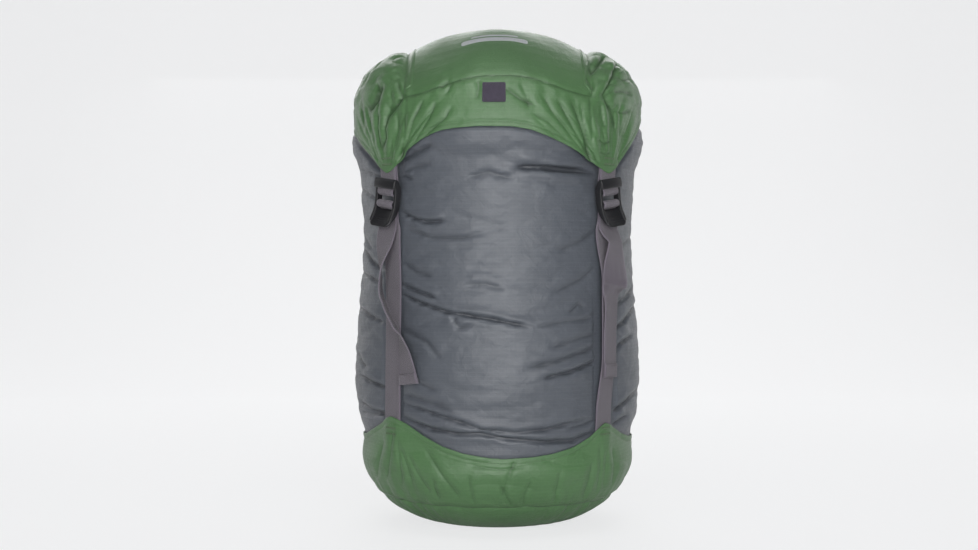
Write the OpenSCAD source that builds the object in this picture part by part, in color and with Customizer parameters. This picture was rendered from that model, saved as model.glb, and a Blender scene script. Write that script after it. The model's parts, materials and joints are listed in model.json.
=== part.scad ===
// Compression stuff sack: a fabric tube with a domed base, a drawcord mouth under a
// separate cap, and four webbing straps with ladder lock buckles that draw the cap
// down onto the load. Z is up, the origin is the centre of the resting face, and the
// front of the sack faces -Y. All lengths are millimetres.

/* [Sack] */
// Height of the packed sack, from its resting face to the top of the cap
sack_h = 436; // [424:2:450]
// Outside radius of the packed fabric tube
tube_r = 120; // [112:0.5:128]
// Thickness of the shell fabric with its coating
cloth_t = 1.1; // [0.8:0.1:1.2]
// Length over which the two halves of the tube overlap
tube_lap = 24; // [20:1:40]

/* [Base] */
// Radius of the flattened patch that the sack stands on
foot_r = 42; // [34:1:50]
// Height of the rounded part of the base
base_curve_h = 66; // [62:1:70]
// Height of the seam between the base panel and the base skirt
base_seam_z = 25; // [20:1:30]
// Height of the four pointed tabs of the base skirt
base_tip_z = 97; // [92:1:102]
// Height of the skirt's edge midway between two tabs
base_dip_z = 72; // [70:1:76]

/* [Cap] */
// Drop of the cap's pointed tabs below the top of the sack
cap_tip_drop = 132; // [128:1:136]
// Drop of the cap's front and back edges below the top of the sack
cap_front_drop = 98; // [92:1:104]
// Drop of the cap's side edges below the top of the sack
cap_side_drop = 82; // [78:1:86]
// Drop of the seam between the cap's skirt and its top pieces
cap_seam_drop = 62; // [59:1:64]
// Half width of the cap's centre strip
strip_half = 78; // [72:1:82]

/* [Straps] */
// Width of the webbing
web_w = 20; // [18:0.5:20]
// Thickness of the webbing
web_t = 1.2; // [1.0:0.1:1.2]
// Angle of each strap from the front or back centre line
strap_angle = 47; // [43:1:50]
// Length of the free tail below each ladder lock
tail_len = 144; // [100:1:148]

/* [Ladder lock] */
// Inside width between the two rails
lock_inside_w = 21.4; // [21:0.1:22]
// Thickness of each rail
rail_t = 2.9; // [2.4:0.1:3.4]
// Radius of the two cross bars
bar_r = 2.0; // [1.8:0.1:2.0]
// Running clearance between a bar and the webbing round it
bar_gap = 0.08; // [0.04:0.01:0.1]

/* [Drawcord] */
// Diameter of the drawcord
cord_d = 2.5; // [2.2:0.1:2.6]
// Outside radius of the cord lock's barrel
barrel_r = 7; // [6.6:0.1:7]
// Length of the cord lock's barrel
barrel_len = 20; // [19:0.5:20.5]
// Travel of the cord lock's plunger
plunger_travel = 4; // [3:0.5:4]

/* [Hidden] */
$fn = 96;

// Turn of each strap about Z, from the front centre line
front_left = -strap_angle;
front_right = strap_angle;
rear_left = strap_angle - 180;
rear_right = 180 - strap_angle;

// Radii
upper_tube_r = tube_r - cloth_t - 0.3; // upper half of the tube, inside the lower half
load_strap_r = tube_r + 0.4;           // inner face of the load straps
base_r = tube_r + 3.6;                 // outside of the base skirt
lock_r = tube_r + 6.5;                 // axes of the ladder lock bars
skirt_in_r = lock_r + 0.6;             // inside of the cap skirt at its tabs
skirt_flare = 0.5;                     // growth of the cap skirt's radius up to its seam
seam_r = skirt_in_r + skirt_flare + cloth_t;
seam_gap = 0.2;                        // gap on each side of a seam

// Heights
tube_mid_z = 236;            // upper edge of the tube's lower half
collar_z = sack_h - 76;      // where the tube ends and the gathered collar begins
collar_h = 36;               // rise of the collar's dome
cord_z = sack_h - 32;        // height of the drawcord
cap_tip_z = sack_h - cap_tip_drop;
cap_seam_z = sack_h - cap_seam_drop;
upper_bar_z = sack_h - 148;  // the bar that hangs from the cap's webbing tab
lower_bar_z = upper_bar_z - 10; // the bar that the load strap runs over
strap_top_z = lower_bar_z - 5;  // where the load strap and the tail end

// Mouth and cord
hem_r = 14;           // radius of the gathered hem round the mouth
turn_y = -77;         // where the free cord turns back
turn_r = 9;           // radius of that turn
free_end_len = 32;    // length of cord after the turn

// Cord lock, with x along the barrel
barrel_x = -12;       // closed end of the barrel
barrel_y = -32;       // rest position on the cord
barrel_wall = 1.5;
plunger_x = -3.4;     // inner end of the plunger

green = [0.36, 0.53, 0.34];
band_green = [0.33, 0.49, 0.31];
grey = [0.42, 0.44, 0.48];
web_colour = [0.47, 0.43, 0.47];
black = [0.10, 0.11, 0.12];
plunger_black = [0.2, 0.2, 0.21];
cord_colour = [0.16, 0.17, 0.18];
steel = [0.7, 0.7, 0.72];
label_colour = [0.24, 0.23, 0.29];
print_colour = [0.72, 0.72, 0.74];

// ---------- profiles of revolved shells, as [radius, height] ----------
function reversed(line) = [for (i = [len(line) - 1:-1:0]) line[i]];

// unit vector to the left of the way from one point to the next
function left_of(start, end) = let(step = end - start) [-step[1], step[0]] / norm(step);

// the same line moved to its left, with mitred corners
function moved(line, distance) = [for (i = [0:len(line) - 1])
    let(before = left_of(line[max(i - 1, 0)], line[max(i, 1)]),
        after = i == len(line) - 1 ? before : left_of(line[i], line[i + 1]),
        mitre = before + after,
        point = line[i] + mitre * (2 * distance / (mitre * mitre)))
    [max(point[0], 0), point[1]]];

function thick(line, thickness) = concat(line, reversed(moved(line, thickness)));

// the base's curve: angle 0 is the rim of the foot, 90 the top; inset is measured inwards
function base_point(angle, inset) = [
    foot_r + (base_r - foot_r) * sin(angle) - inset * sin(angle),
    base_curve_h * (1 - cos(angle)) + inset * cos(angle)];
function base_angle(z) = acos(1 - z / base_curve_h);
function base_run(from, to, inset, steps) =
    [for (i = [0:steps]) base_point(from + (to - from) * i / steps, inset)];

// a layer along the base's curve; rim holds any points past its upper end
function base_layer(from, to, inset, thickness, rim = [], steps = 14) = concat(
    base_run(from, to, inset, steps), rim, reversed(base_run(from, to, inset + thickness, steps)));
function straight_rim(radius, z) = [[radius, z], [radius - cloth_t, z]];

// the collar rises over the load and turns up into a neck under the hem
collar_line = concat(
    [for (i = [0:12]) let(angle = i * 6.75)
        [upper_tube_r * cos(angle), collar_z + collar_h * sin(angle)]],
    [[hem_r + 3.4, collar_z + collar_h * 0.996],
     [hem_r + 1.2, collar_z + collar_h + 1.4],
     [hem_r + 0.6, cord_z - 4.8]]);

// the cap's outlines as [share of the seam radius, share of the top pieces' drop]
top_drop = cap_seam_drop - 0.3; // the top pieces stop just above the skirt
function cap_line(shares) = [for (share = shares) [share[0] * seam_r, sack_h - share[1] * top_drop]];
strip_line = cap_line([
    [0, 0], [0.08, 0.003], [0.16, 0.014], [0.24, 0.034], [0.32, 0.066], [0.4, 0.11],
    [0.48, 0.168], [0.56, 0.243], [0.64, 0.335], [0.72, 0.44], [0.8, 0.56], [0.87, 0.68],
    [0.93, 0.80], [0.97, 0.90], [1, 0.96], [1, 1]]);
gusset_line = cap_line([
    [0.58, 0.36], [0.65, 0.335], [0.72, 0.335], [0.79, 0.37], [0.86, 0.445],
    [0.92, 0.56], [0.965, 0.70], [0.99, 0.84], [1, 0.93], [1, 1]]);

// ---------- helpers ----------
// x runs across the webbing, -y points outwards from the bars' axes, z is unchanged
module at_strap(turn) { rotate([0, 0, turn]) translate([0, -lock_r, 0]) children(); }

// a flat drawing in [outwards, up], extruded across the strap
module across(width) {
    translate([-width / 2, 0, 0]) rotate([90, 0, 90]) linear_extrude(width)
        mirror([1, 0]) children();
}

// a round bar across the strap, on the bars' common plane
module bar(z, radius, width) {
    translate([-width / 2, 0, z]) rotate([0, 90, 0]) cylinder(r = radius, h = width, $fn = 48);
}

module shell(points) { rotate_extrude() polygon(points); }

// a cylinder that cuts an arch into a skirt between two tabs. tab_reach is the distance
// from the centre line to a strap; the arch opens towards the tabs' tips, up or down
arch_margin = 7; // how far the arch stops short of the strap's centre line
along_x = [0, 90, 0];
along_y = [90, 0, 0];
module arch(direction, tab_reach, edge_z, tip_z) {
    half = tab_reach - arch_margin;
    depth = tip_z - edge_z;
    centre_offset = (half * half + depth * depth) / (2 * depth);
    translate([0, 0, edge_z + centre_offset]) rotate(direction)
        cylinder(r = abs(centre_offset), h = 400, center = true, $fn = 128);
}

// ---------- base ----------
module base_panel() {
    rim_angle = base_angle(base_seam_z - seam_gap);
    color(green) shell(concat([[0, 0]], base_layer(0, rim_angle, 0, cloth_t), [[0, cloth_t]]));
}

module base_skirt() {
    side_dip_z = base_dip_z + 3;
    color(green) difference() {
        shell(base_layer(base_angle(base_seam_z + seam_gap), 90, 0, cloth_t,
            straight_rim(base_r, base_tip_z)));
        arch(along_y, base_r * sin(strap_angle), base_dip_z, base_tip_z);
        arch(along_x, base_r * cos(strap_angle), side_dip_z, base_tip_z);
    }
}

// the tape that binds the raw edges of the base seam, inside the sack
module base_seam_binding() {
    color(black) shell(base_layer(base_angle(base_seam_z - 3), base_angle(base_seam_z + 7),
        inset = 4.9, thickness = 1, steps = 4));
}

// the fabric tube is drawn as two halves, one inside the other, so that it can shorten
module body_tube_lower() {
    color(grey) shell(base_layer(base_angle(base_seam_z + 3), 90, base_r - tube_r, cloth_t,
        straight_rim(tube_r, tube_mid_z)));
}

module body_tube_upper() {
    bottom_z = tube_mid_z - tube_lap;
    height = collar_z - 0.6 - bottom_z;
    color(grey) translate([0, 0, bottom_z]) difference() {
        cylinder(r = upper_tube_r, h = height);
        translate([0, 0, -1]) cylinder(r = upper_tube_r - cloth_t, h = height + 2);
    }
}

// the loaded part of one strap, from under the base skirt's tab up to the ladder lock
module load_strap(turn) {
    bottom_z = base_tip_z - 15;
    color(web_colour) rotate([0, 0, turn])
        translate([-web_w / 2, -load_strap_r - web_t, bottom_z])
            cube([web_w, web_t, strap_top_z - bottom_z]);
}

// two rows of stitching, one above the other, on each of the four tabs
module bar_tacks(radius, z) {
    size = [12, 0.55, 1.6];
    face_out = 0.7; // from the given radius to the outer face
    pitch = 5;
    color(black) for (turn = [front_left, front_right, rear_left, rear_right])
        rotate([0, 0, turn]) for (k = [0, 1])
            translate([-size[0] / 2, -radius - face_out, z + pitch * k]) cube(size);
}

module base_bar_tacks() { bar_tacks(base_r, base_tip_z - 12); }
module cap_bar_tacks() { bar_tacks(skirt_in_r + cloth_t + 0.2, cap_tip_z + 7); }

// ---------- mouth ----------
module mouth_collar() { color(grey) shell(thick(collar_line, cloth_t)); }

// the gathered hem is a channel that the drawcord runs in, with a hole at the front
module mouth_hem() {
    color(grey) difference() {
        translate([0, 0, cord_z]) rotate_extrude() translate([hem_r, 0]) difference() {
            circle(r = 4.4, $fn = 48);
            circle(r = 3.0, $fn = 48);
        }
        translate([0, -hem_r - 1, cord_z]) rotate([90, 0, 0]) cylinder(r = 3.75, h = 10, $fn = 48);
    }
}

// the eyelet where both ends of the cord leave the hem
module mouth_eyelet() {
    height = 2.4;
    flange_t = 1.1;
    color(black) translate([0, -hem_r - 3.4, cord_z]) rotate([90, 0, 0]) difference() {
        union() {
            cylinder(r = 3.65, h = height, $fn = 48);
            translate([0, 0, height - flange_t]) cylinder(r = 5.2, h = flange_t, $fn = 48);
        }
        translate([0, 0, -1]) cylinder(r = 2.9, h = 6, $fn = 48);
    }
}

// one cord: a loop in the hem, then both ends, one above the other, run forwards
// through the cord lock and turn back on the right
module drawcord() {
    cord_r = cord_d / 2;
    lift = cord_r + 0.12;
    start_y = 1 - hem_r;
    color(cord_colour) {
        translate([0, 0, cord_z]) rotate_extrude()
            translate([hem_r, 0]) circle(r = cord_r, $fn = 32);
        for (side = [-1, 1]) translate([0, 0, cord_z + side * lift]) {
            translate([0, start_y, 0]) rotate([90, 0, 0])
                cylinder(r = cord_r, h = start_y - turn_y, $fn = 32);
            translate([turn_r, turn_y, 0]) rotate([0, 0, 180]) rotate_extrude(angle = 180)
                translate([turn_r, 0]) circle(r = cord_r, $fn = 32);
            translate([2 * turn_r, turn_y, 0]) rotate([-90, 0, 0])
                cylinder(r = cord_r, h = free_end_len, $fn = 32);
        }
    }
}

module cord_end_knot() {
    knot_r = 3.8;
    body_h = 4;
    color(cord_colour) translate([2 * turn_r, turn_y + free_end_len + 0.2, cord_z])
        rotate([-90, 0, 0]) {
            cylinder(r = knot_r, h = body_h, $fn = 32);
            translate([0, 0, body_h]) cylinder(r1 = knot_r, r2 = 2.2, h = 3, $fn = 32);
        }
}

// ---------- cord lock: lies across the cord, with its closed end on the left ----------
module at_cord_lock() { translate([0, barrel_y, cord_z]) children(); }
module rod(x, radius, length) {
    translate([x, 0, 0]) rotate([0, 90, 0]) cylinder(r = radius, h = length);
}
module cord_slot(x, width) { translate([x, -20, -3.2]) cube([width, 40, 6.4]); }

module cord_lock_barrel() {
    slot_w = cord_d + 1.2;
    color(black) at_cord_lock() difference() {
        rod(barrel_x, barrel_r, barrel_len);
        rod(barrel_x + barrel_wall, barrel_r - barrel_wall, barrel_len);
        cord_slot(-slot_w / 2, slot_w);
    }
}

module cord_lock_plunger() {
    slot_gap = 0.2;
    radius = barrel_r - barrel_wall - 0.08;
    head_x = barrel_x + barrel_len + plunger_travel;
    color(plunger_black) at_cord_lock() difference() {
        union() {
            rod(plunger_x, radius, head_x - plunger_x);
            rod(head_x, radius - 0.6, 1.4);
        }
        cord_slot(-cord_d / 2 - slot_gap, cord_d + 2 * slot_gap + plunger_travel);
    }
}

// the spring between the barrel's closed end and the plunger, as one swept coil
module cord_lock_spring() {
    coil_r = 4.2;
    wire_r = 0.4;
    turns = 3.5;
    steps = 20; // per turn
    sides = 8;  // of the wire's section
    end_gap = 0.1;
    start_x = barrel_x + barrel_wall + wire_r + end_gap;
    length = plunger_x - wire_r - end_gap - start_x;
    rings = round(turns * steps);
    lead = atan(length / turns / (2 * PI * coil_r));
    points = [for (i = [0:rings], k = [0:sides - 1])
        let(around = 360 * i / steps,
            section = 360 * k / sides,
            out = coil_r + wire_r * cos(section),
            up = wire_r * sin(section))
        [start_x + length * i / rings + up * cos(lead),
         out * cos(around) + up * sin(lead) * sin(around),
         out * sin(around) - up * sin(lead) * cos(around)]];
    wall_faces = [for (i = [0:rings - 1], k = [0:sides - 1])
        let(here = i * sides + k, beside = i * sides + (k + 1) % sides)
        [here, here + sides, beside + sides, beside]];
    end_faces = [
        [for (k = [0:sides - 1]) k],
        [for (k = [sides - 1:-1:0]) rings * sides + k]];
    color(steel) at_cord_lock() polyhedron(points, concat(wall_faces, end_faces));
}

// ---------- cap ----------
band_w = 2.5; // width of the seam bands
left = -1;
right = 1;

// an upright slab on one side of the cap, starting at a distance from its middle
module side_slab(side, start, width) {
    translate([side > 0 ? start : -start - width, -200, 0]) cube([width, 400, 500]);
}

module cap_top_strip() {
    color(green) intersection() {
        shell(thick(strip_line, -cloth_t));
        side_slab(right, -strip_half, 2 * strip_half);
    }
}

module cap_gusset(side) {
    color(green) intersection() {
        shell(thick(gusset_line, -cloth_t));
        side_slab(side, strip_half + band_w + 2 * seam_gap, 200);
    }
}

// the folded and stitched band between the centre strip and a puffed side
module cap_seam_band(side) {
    inner_r = seam_r - 14;
    color(band_green) intersection() {
        shell(concat(moved(gusset_line, 0.7), [
            [inner_r, sack_h - top_drop],
            [inner_r, sack_h - cap_seam_drop * 0.8],
            [0.8 * seam_r, sack_h - cap_seam_drop * 0.56],
            [0.58 * seam_r, sack_h - cap_seam_drop * 0.42]]));
        side_slab(side, strip_half + seam_gap, band_w);
    }
}

module cap_skirt() {
    outer_r = skirt_in_r + cloth_t;
    bend_z = cap_tip_z + 40;
    bend_flare = 0.4;
    color(green) difference() {
        shell([
            [skirt_in_r, cap_tip_z], [outer_r, cap_tip_z],
            [outer_r + bend_flare, bend_z], [seam_r, cap_seam_z],
            [skirt_in_r + skirt_flare, cap_seam_z], [skirt_in_r + bend_flare, bend_z]]);
        arch(along_y, skirt_in_r * sin(strap_angle), sack_h - cap_front_drop, cap_tip_z);
        arch(along_x, skirt_in_r * cos(strap_angle), sack_h - cap_side_drop, cap_tip_z);
    }
}

module cap_label() {
    size = [18.8, 0.8, 16];
    color(label_colour)
        translate([-size[0] / 2, -seam_r - 0.2 - size[1], cap_seam_z - 1 - size[2]]) cube(size);
}

// a plain printed mark of two bars, on the front part of the cap's top
module cap_print() {
    marks = [[-31, -85, 56, 8], [-23, -74, 40, 3]]; // x, y, width, depth
    color(print_colour) intersection() {
        shell(thick(moved(strip_line, 0.1), 0.25));
        union() {
            for (mark = marks) translate([mark[0], mark[1], 0]) cube([mark[2], mark[3], 500]);
        }
    }
}

// ---------- straps at the ladder locks ----------
loop_in_r = bar_r + bar_gap;
loop_out_r = loop_in_r + web_t;

// webbing doubled round the ladder lock's upper bar and sewn under the cap's tab
module cap_tab(turn) {
    join_z = upper_bar_z + 14;
    top_z = cap_tip_z + 18;
    color(web_colour) at_strap(turn) difference() {
        union() {
            bar(upper_bar_z, loop_out_r, web_w);
            across(web_w) polygon([
                [-loop_out_r, upper_bar_z], [-2 * web_t, join_z], [-2 * web_t, top_z],
                [0, top_z], [0, join_z], [loop_out_r, upper_bar_z]]);
        }
        bar(upper_bar_z, loop_in_r, web_w + 2);
        across(web_w + 2) polygon([
            [-loop_in_r, upper_bar_z], [-web_t, join_z - 0.6], [loop_in_r, upper_bar_z]]);
    }
}

// outlines of the ladder lock, as [outwards, up] from the upper bar's axis
rail_outline = [
    [-1.5, 7.2], [0.0, 9.8], [2.0, 11.2], [3.9, 10.9], [4.8, 9.0], [4.4, 5.8], [2.9, 3.2],
    [2.4, 0], [2.3, -8], [2.6, -13], [4.0, -18], [7.0, -24.8], [7.8, -27.6],
    [7.0, -29.2], [4.6, -28.2], [1.4, -24], [-1, -19], [-3.2, -13], [-3.6, -5],
    [-3.4, 2], [-2.8, 5]];
thumb_outline = [
    [-2.3, -14.6], [-0.2, -14.3], [1.8, -18.6], [4.0, -22.6], [7.0, -26.2], [7.8, -27.6],
    [7.0, -29.2], [4.6, -28.2], [1.8, -25], [-0.5, -20.4], [-2.4, -16]];
hood_outline = [
    [2.9, 4.6], [4.4, 4.4], [4.9, 6.2], [4.8, 9.0], [3.9, 10.9], [2.0, 11.2], [1.5, 9.8],
    [2.6, 8]];

// two rails joined by two bars, a hood at the top and a thumb plate at the bottom
module ladder_lock(turn) {
    cross_w = lock_inside_w + 2 * rail_t - 1; // the cross pieces end inside the rails
    color(black) at_strap(turn) {
        for (side = [-1, 1])
            translate([side * (lock_inside_w + rail_t) / 2, 0, upper_bar_z])
                across(rail_t) polygon(rail_outline);
        bar(upper_bar_z, bar_r, cross_w);
        bar(lower_bar_z, bar_r, cross_w);
        translate([0, 0, upper_bar_z]) across(cross_w) polygon(hood_outline);
        translate([0, 0, upper_bar_z]) across(cross_w) polygon(thumb_outline);
    }
}

// the turn of the strap over the lower bar, open below on the side towards the sack
module strap_wrap(turn) {
    color(web_colour) at_strap(turn) difference() {
        bar(lower_bar_z, loop_out_r, web_w);
        bar(lower_bar_z, loop_in_r, web_w + 2);
        across(web_w + 2) polygon([
            [0, lower_bar_z], [-12, lower_bar_z - 4], [-6, lower_bar_z - 12]]);
    }
}

// the free end of the strap, stepping outwards below the lock, with its end folded
module strap_tail(turn) {
    top_out = -4.4; // inner face at the lock
    low_out = -1.9; // inner face below the step
    bottom_z = lower_bar_z - 6 - tail_len;
    color(web_colour) at_strap(turn) across(web_w) polygon([
        [top_out, strap_top_z],
        [top_out + web_t, strap_top_z],
        [top_out + web_t, strap_top_z - 12],
        [low_out + web_t, strap_top_z - 20],
        [low_out + web_t, bottom_z + 10],
        [low_out + 2 * web_t, bottom_z + 9.6],
        [low_out + 2 * web_t, bottom_z],
        [low_out, bottom_z],
        [low_out, strap_top_z - 20.3],
        [top_out, strap_top_z - 12.3]]);
}

base_panel();
base_skirt();
base_seam_binding();
body_tube_lower();
load_strap(front_left);  // load_strap_front_left
load_strap(front_right);  // load_strap_front_right
load_strap(rear_left);  // load_strap_rear_left
load_strap(rear_right);  // load_strap_rear_right
base_bar_tacks();
body_tube_upper();
mouth_collar();
mouth_hem();
mouth_eyelet();
drawcord();
cord_end_knot();
cord_lock_barrel();
cord_lock_plunger();
cord_lock_spring();
cap_top_strip();
cap_gusset(left);  // cap_gusset_left
cap_gusset(right);  // cap_gusset_right
cap_seam_band(left);  // cap_seam_band_left
cap_seam_band(right);  // cap_seam_band_right
cap_skirt();
cap_label();
cap_print();
cap_bar_tacks();
cap_tab(front_left);  // cap_tab_front_left
cap_tab(front_right);  // cap_tab_front_right
cap_tab(rear_left);  // cap_tab_rear_left
cap_tab(rear_right);  // cap_tab_rear_right
ladder_lock(front_left);  // ladder_lock_front_left
ladder_lock(front_right);  // ladder_lock_front_right
ladder_lock(rear_left);  // ladder_lock_rear_left
ladder_lock(rear_right);  // ladder_lock_rear_right
strap_wrap(front_left);  // strap_wrap_front_left
strap_wrap(front_right);  // strap_wrap_front_right
strap_wrap(rear_left);  // strap_wrap_rear_left
strap_wrap(rear_right);  // strap_wrap_rear_right
strap_tail(front_left);  // strap_tail_front_left
strap_tail(front_right);  // strap_tail_front_right
strap_tail(rear_left);  // strap_tail_rear_left
strap_tail(rear_right);  // strap_tail_rear_right
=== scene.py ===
import json
import math

import bmesh
import bpy
import numpy as np
from mathutils import Matrix, Vector
from mathutils.bvhtree import BVHTree


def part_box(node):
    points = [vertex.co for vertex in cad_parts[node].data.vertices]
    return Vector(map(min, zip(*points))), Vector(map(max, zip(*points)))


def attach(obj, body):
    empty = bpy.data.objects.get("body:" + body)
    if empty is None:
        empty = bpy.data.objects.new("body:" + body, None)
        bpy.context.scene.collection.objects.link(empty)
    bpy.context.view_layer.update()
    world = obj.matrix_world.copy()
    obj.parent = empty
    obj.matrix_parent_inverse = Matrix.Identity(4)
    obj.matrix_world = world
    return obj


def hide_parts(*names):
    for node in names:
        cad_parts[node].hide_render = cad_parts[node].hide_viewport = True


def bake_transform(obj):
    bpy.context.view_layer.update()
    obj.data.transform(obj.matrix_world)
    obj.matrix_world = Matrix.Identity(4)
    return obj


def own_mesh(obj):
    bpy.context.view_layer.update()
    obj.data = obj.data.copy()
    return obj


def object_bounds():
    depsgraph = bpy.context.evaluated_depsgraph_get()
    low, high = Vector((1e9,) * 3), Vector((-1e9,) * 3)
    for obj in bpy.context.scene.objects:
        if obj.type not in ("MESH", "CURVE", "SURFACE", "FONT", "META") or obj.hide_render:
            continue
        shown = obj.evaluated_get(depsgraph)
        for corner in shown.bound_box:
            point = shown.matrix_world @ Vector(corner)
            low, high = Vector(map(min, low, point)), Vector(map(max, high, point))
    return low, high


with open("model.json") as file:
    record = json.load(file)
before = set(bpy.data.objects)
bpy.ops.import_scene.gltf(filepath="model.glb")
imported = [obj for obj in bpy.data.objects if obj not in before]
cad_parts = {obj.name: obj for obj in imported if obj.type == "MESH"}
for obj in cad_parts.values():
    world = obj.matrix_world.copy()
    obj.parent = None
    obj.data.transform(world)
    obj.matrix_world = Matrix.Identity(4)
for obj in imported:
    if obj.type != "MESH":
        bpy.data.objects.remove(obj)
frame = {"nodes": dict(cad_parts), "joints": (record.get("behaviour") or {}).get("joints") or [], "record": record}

CAD_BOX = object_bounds()
MM = 0.001
SIDES = ("front_left", "front_right", "rear_left", "rear_right")


# ---------------------------------------------------------------- frame values, in millimetres
def box_mm(node):
    lo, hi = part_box(node)
    return np.array(lo) * 1000, np.array(hi) * 1000


HEIGHT = CAD_BOX[1].z * 1000
SEAM_TOP = box_mm("cap_skirt")[1][2]          # seam between the cap's skirt and its top
TIP_CAP = box_mm("cap_skirt")[0][2]           # lowest point of the cap's tabs
SEAM_R = box_mm("cap_skirt")[1][0]            # cap radius at the seam
TIP_BASE = box_mm("base_skirt")[1][2]         # highest point of the base skirt's tabs
SEAM_BASE = box_mm("base_panel")[1][2]        # seam between the base panel and skirt
BASE_R = box_mm("base_skirt")[1][0]
TUBE_R = box_mm("body_tube_lower")[1][0]
TUBE_TOP = box_mm("body_tube_upper")[1][2]
HEM = box_mm("mouth_hem")
JOINTS = {j["name"]: j for j in frame["joints"]}
LOCK = {}
for s in SIDES:
    j = JOINTS["ladder_lock_tilt_" + s]
    p = np.array(j["pos_m"]) * 1000
    out = np.array([p[0], p[1], 0.0]) / math.hypot(p[0], p[1])
    across = np.array([-out[1], out[0], 0.0])
    LOCK[s] = {"at": p, "out": out, "across": across, "r": math.hypot(p[0], p[1]), "theta": math.atan2(p[0], -p[1])}
LOCK_R = LOCK["front_left"]["r"]
BAR1_Z = LOCK["front_left"]["at"][2]
BAR2 = -10.0
STRAP_TH = np.array([LOCK[s]["theta"] for s in SIDES])
WEB = 20.0


# ---------------------------------------------------------------- noise and shape helpers
def lattice(ix, iy, seed):
    h = (ix.astype(np.int64) * 374761393 + iy.astype(np.int64) * 668265263 + seed * 1442695041) & 0xFFFFFFFF
    h = ((h ^ (h >> 13)) * 1274126177) & 0xFFFFFFFF
    h = (h ^ (h >> 16)) & 0xFFFFFFFF
    return h / 4294967296.0


def noise(x, y, seed, period=0):
    """Smooth 2-D gradient noise of about -1 to 1; period is the whole number of cells after which it repeats in x."""
    x, y = np.broadcast_arrays(np.asarray(x, float), np.asarray(y, float))
    xi, yi = np.floor(x).astype(np.int64), np.floor(y).astype(np.int64)
    xf, yf = x - xi, y - yi
    total = 0
    u = xf ** 3 * (xf * (xf * 6 - 15) + 10)
    v = yf ** 3 * (yf * (yf * 6 - 15) + 10)
    for dx in (0, 1):
        for dy in (0, 1):
            cx = (xi + dx) % period if period else xi + dx
            a = lattice(cx, yi + dy, seed) * 2 * np.pi
            d = np.cos(a) * (xf - dx) + np.sin(a) * (yf - dy)
            total = total + d * (u if dx else 1 - u) * (v if dy else 1 - v)
    return total * 1.5


def step(a, b, x):
    t = np.clip((np.asarray(x, float) - a) / (b - a), 0, 1)
    return t * t * (3 - 2 * t)


def wrap(a):
    return (np.asarray(a) + np.pi) % (2 * np.pi) - np.pi


def to_strap(theta):
    """Signed turn to the nearest strap, and the share of the way between two straps (0 at a strap, 1 midway)."""
    d = wrap(np.asarray(theta)[..., None] - STRAP_TH)
    k = np.abs(d).argmin(-1)
    near = np.take_along_axis(d, k[..., None], -1)[..., 0]
    c = np.abs(np.cos(theta))
    half_front = abs(STRAP_TH[1])
    half_side = np.pi / 2 - half_front
    front = c > math.cos(half_front)
    return near, np.clip(np.abs(near) / np.where(front, half_front, half_side), 0, 1), front


# ---------------------------------------------------------------- mesh helpers
def make_object(name, verts_mm, faces, uv=None, smooth=True):
    mesh = bpy.data.meshes.new(name)
    mesh.from_pydata([tuple(v) for v in (np.asarray(verts_mm) * MM)], [], [tuple(int(i) for i in f) for f in faces])
    mesh.validate(clean_customdata=False)
    if smooth:
        mesh.polygons.foreach_set("use_smooth", [True] * len(mesh.polygons))
    if uv is not None:
        layer = mesh.uv_layers.new(name="cloth")
        loops = np.zeros(len(mesh.loops), np.int32)
        mesh.loops.foreach_get("vertex_index", loops)
        layer.data.foreach_set("uv", np.asarray(uv, np.float32)[loops].ravel())
    mesh.update()
    obj = bpy.data.objects.new(name, mesh)
    bpy.context.scene.collection.objects.link(obj)
    return obj


def grid_faces(rows, cols, closed):
    """Quads of a rows x cols grid. closed joins the last column to the first."""
    i = np.arange(rows - 1)[:, None]
    j = np.arange(cols if closed else cols - 1)[None, :]
    jn = (j + 1) % cols
    a, b, c, d = i * cols + j, i * cols + jn, (i + 1) * cols + jn, (i + 1) * cols + j
    return np.stack([a, b, c, d], -1).reshape(-1, 4)


def grid_object(name, points, closed=False, uv=None, flip=False, closed_uv_width=None):
    """points is rows x cols x 3. On a closed grid, closed_uv_width moves the low u of the faces across the join up by
    one turn, so that the UVs don't fold back.
    """
    rows, cols = points.shape[:2]
    faces = grid_faces(rows, cols, closed)
    if flip:
        faces = faces[:, ::-1]
    obj = make_object(name, points.reshape(-1, 3), faces)
    if uv is not None:
        layer = obj.data.uv_layers.new(name="cloth")
        loops = np.zeros(len(obj.data.loops), np.int32)
        obj.data.loops.foreach_get("vertex_index", loops)
        flat = np.asarray(uv, np.float32).reshape(-1, 2)[loops]
        if closed and closed_uv_width:
            per = flat.reshape(-1, 4, 2)
            wide = per[:, :, 0].max(1) - per[:, :, 0].min(1) > closed_uv_width / 2
            low = per[:, :, 0] < closed_uv_width / 2
            per[:, :, 0] += np.where(wide[:, None] & low, closed_uv_width, 0)
            flat = per.reshape(-1, 2)
        layer.data.foreach_set("uv", flat.ravel())
    return obj


def mark_fold_shade(obj, depth):
    """Stores how deep in a fold each point lies, 0 to 1, for the cloth's material, which paints shade there by
    darkening the colour.
    """
    values = np.clip(np.asarray(depth, float).ravel(), 0, 1).astype(np.float32)
    layer = obj.data.attributes.new("fold", "FLOAT", "POINT")
    full = np.zeros(len(obj.data.vertices), np.float32)
    full[:len(values)] = values
    layer.data.foreach_set("value", full)


def apply_modifiers(obj):
    dg = bpy.context.evaluated_depsgraph_get()
    mesh = bpy.data.meshes.new_from_object(obj.evaluated_get(dg), preserve_all_data_layers=True, depsgraph=dg)
    old = obj.data
    obj.modifiers.clear()
    obj.data = mesh
    mesh.name = obj.name
    bpy.data.meshes.remove(old)
    return obj


def solidify(obj, mm, offset=-1.0, rim=True):
    m = obj.modifiers.new("thick", "SOLIDIFY")
    m.thickness, m.offset, m.use_rim, m.use_even_offset = mm * MM, offset, rim, False
    return apply_modifiers(obj)


def subdivide(obj, levels=1):
    m = obj.modifiers.new("subd", "SUBSURF")
    m.levels = m.render_levels = levels
    return apply_modifiers(obj)


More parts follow.
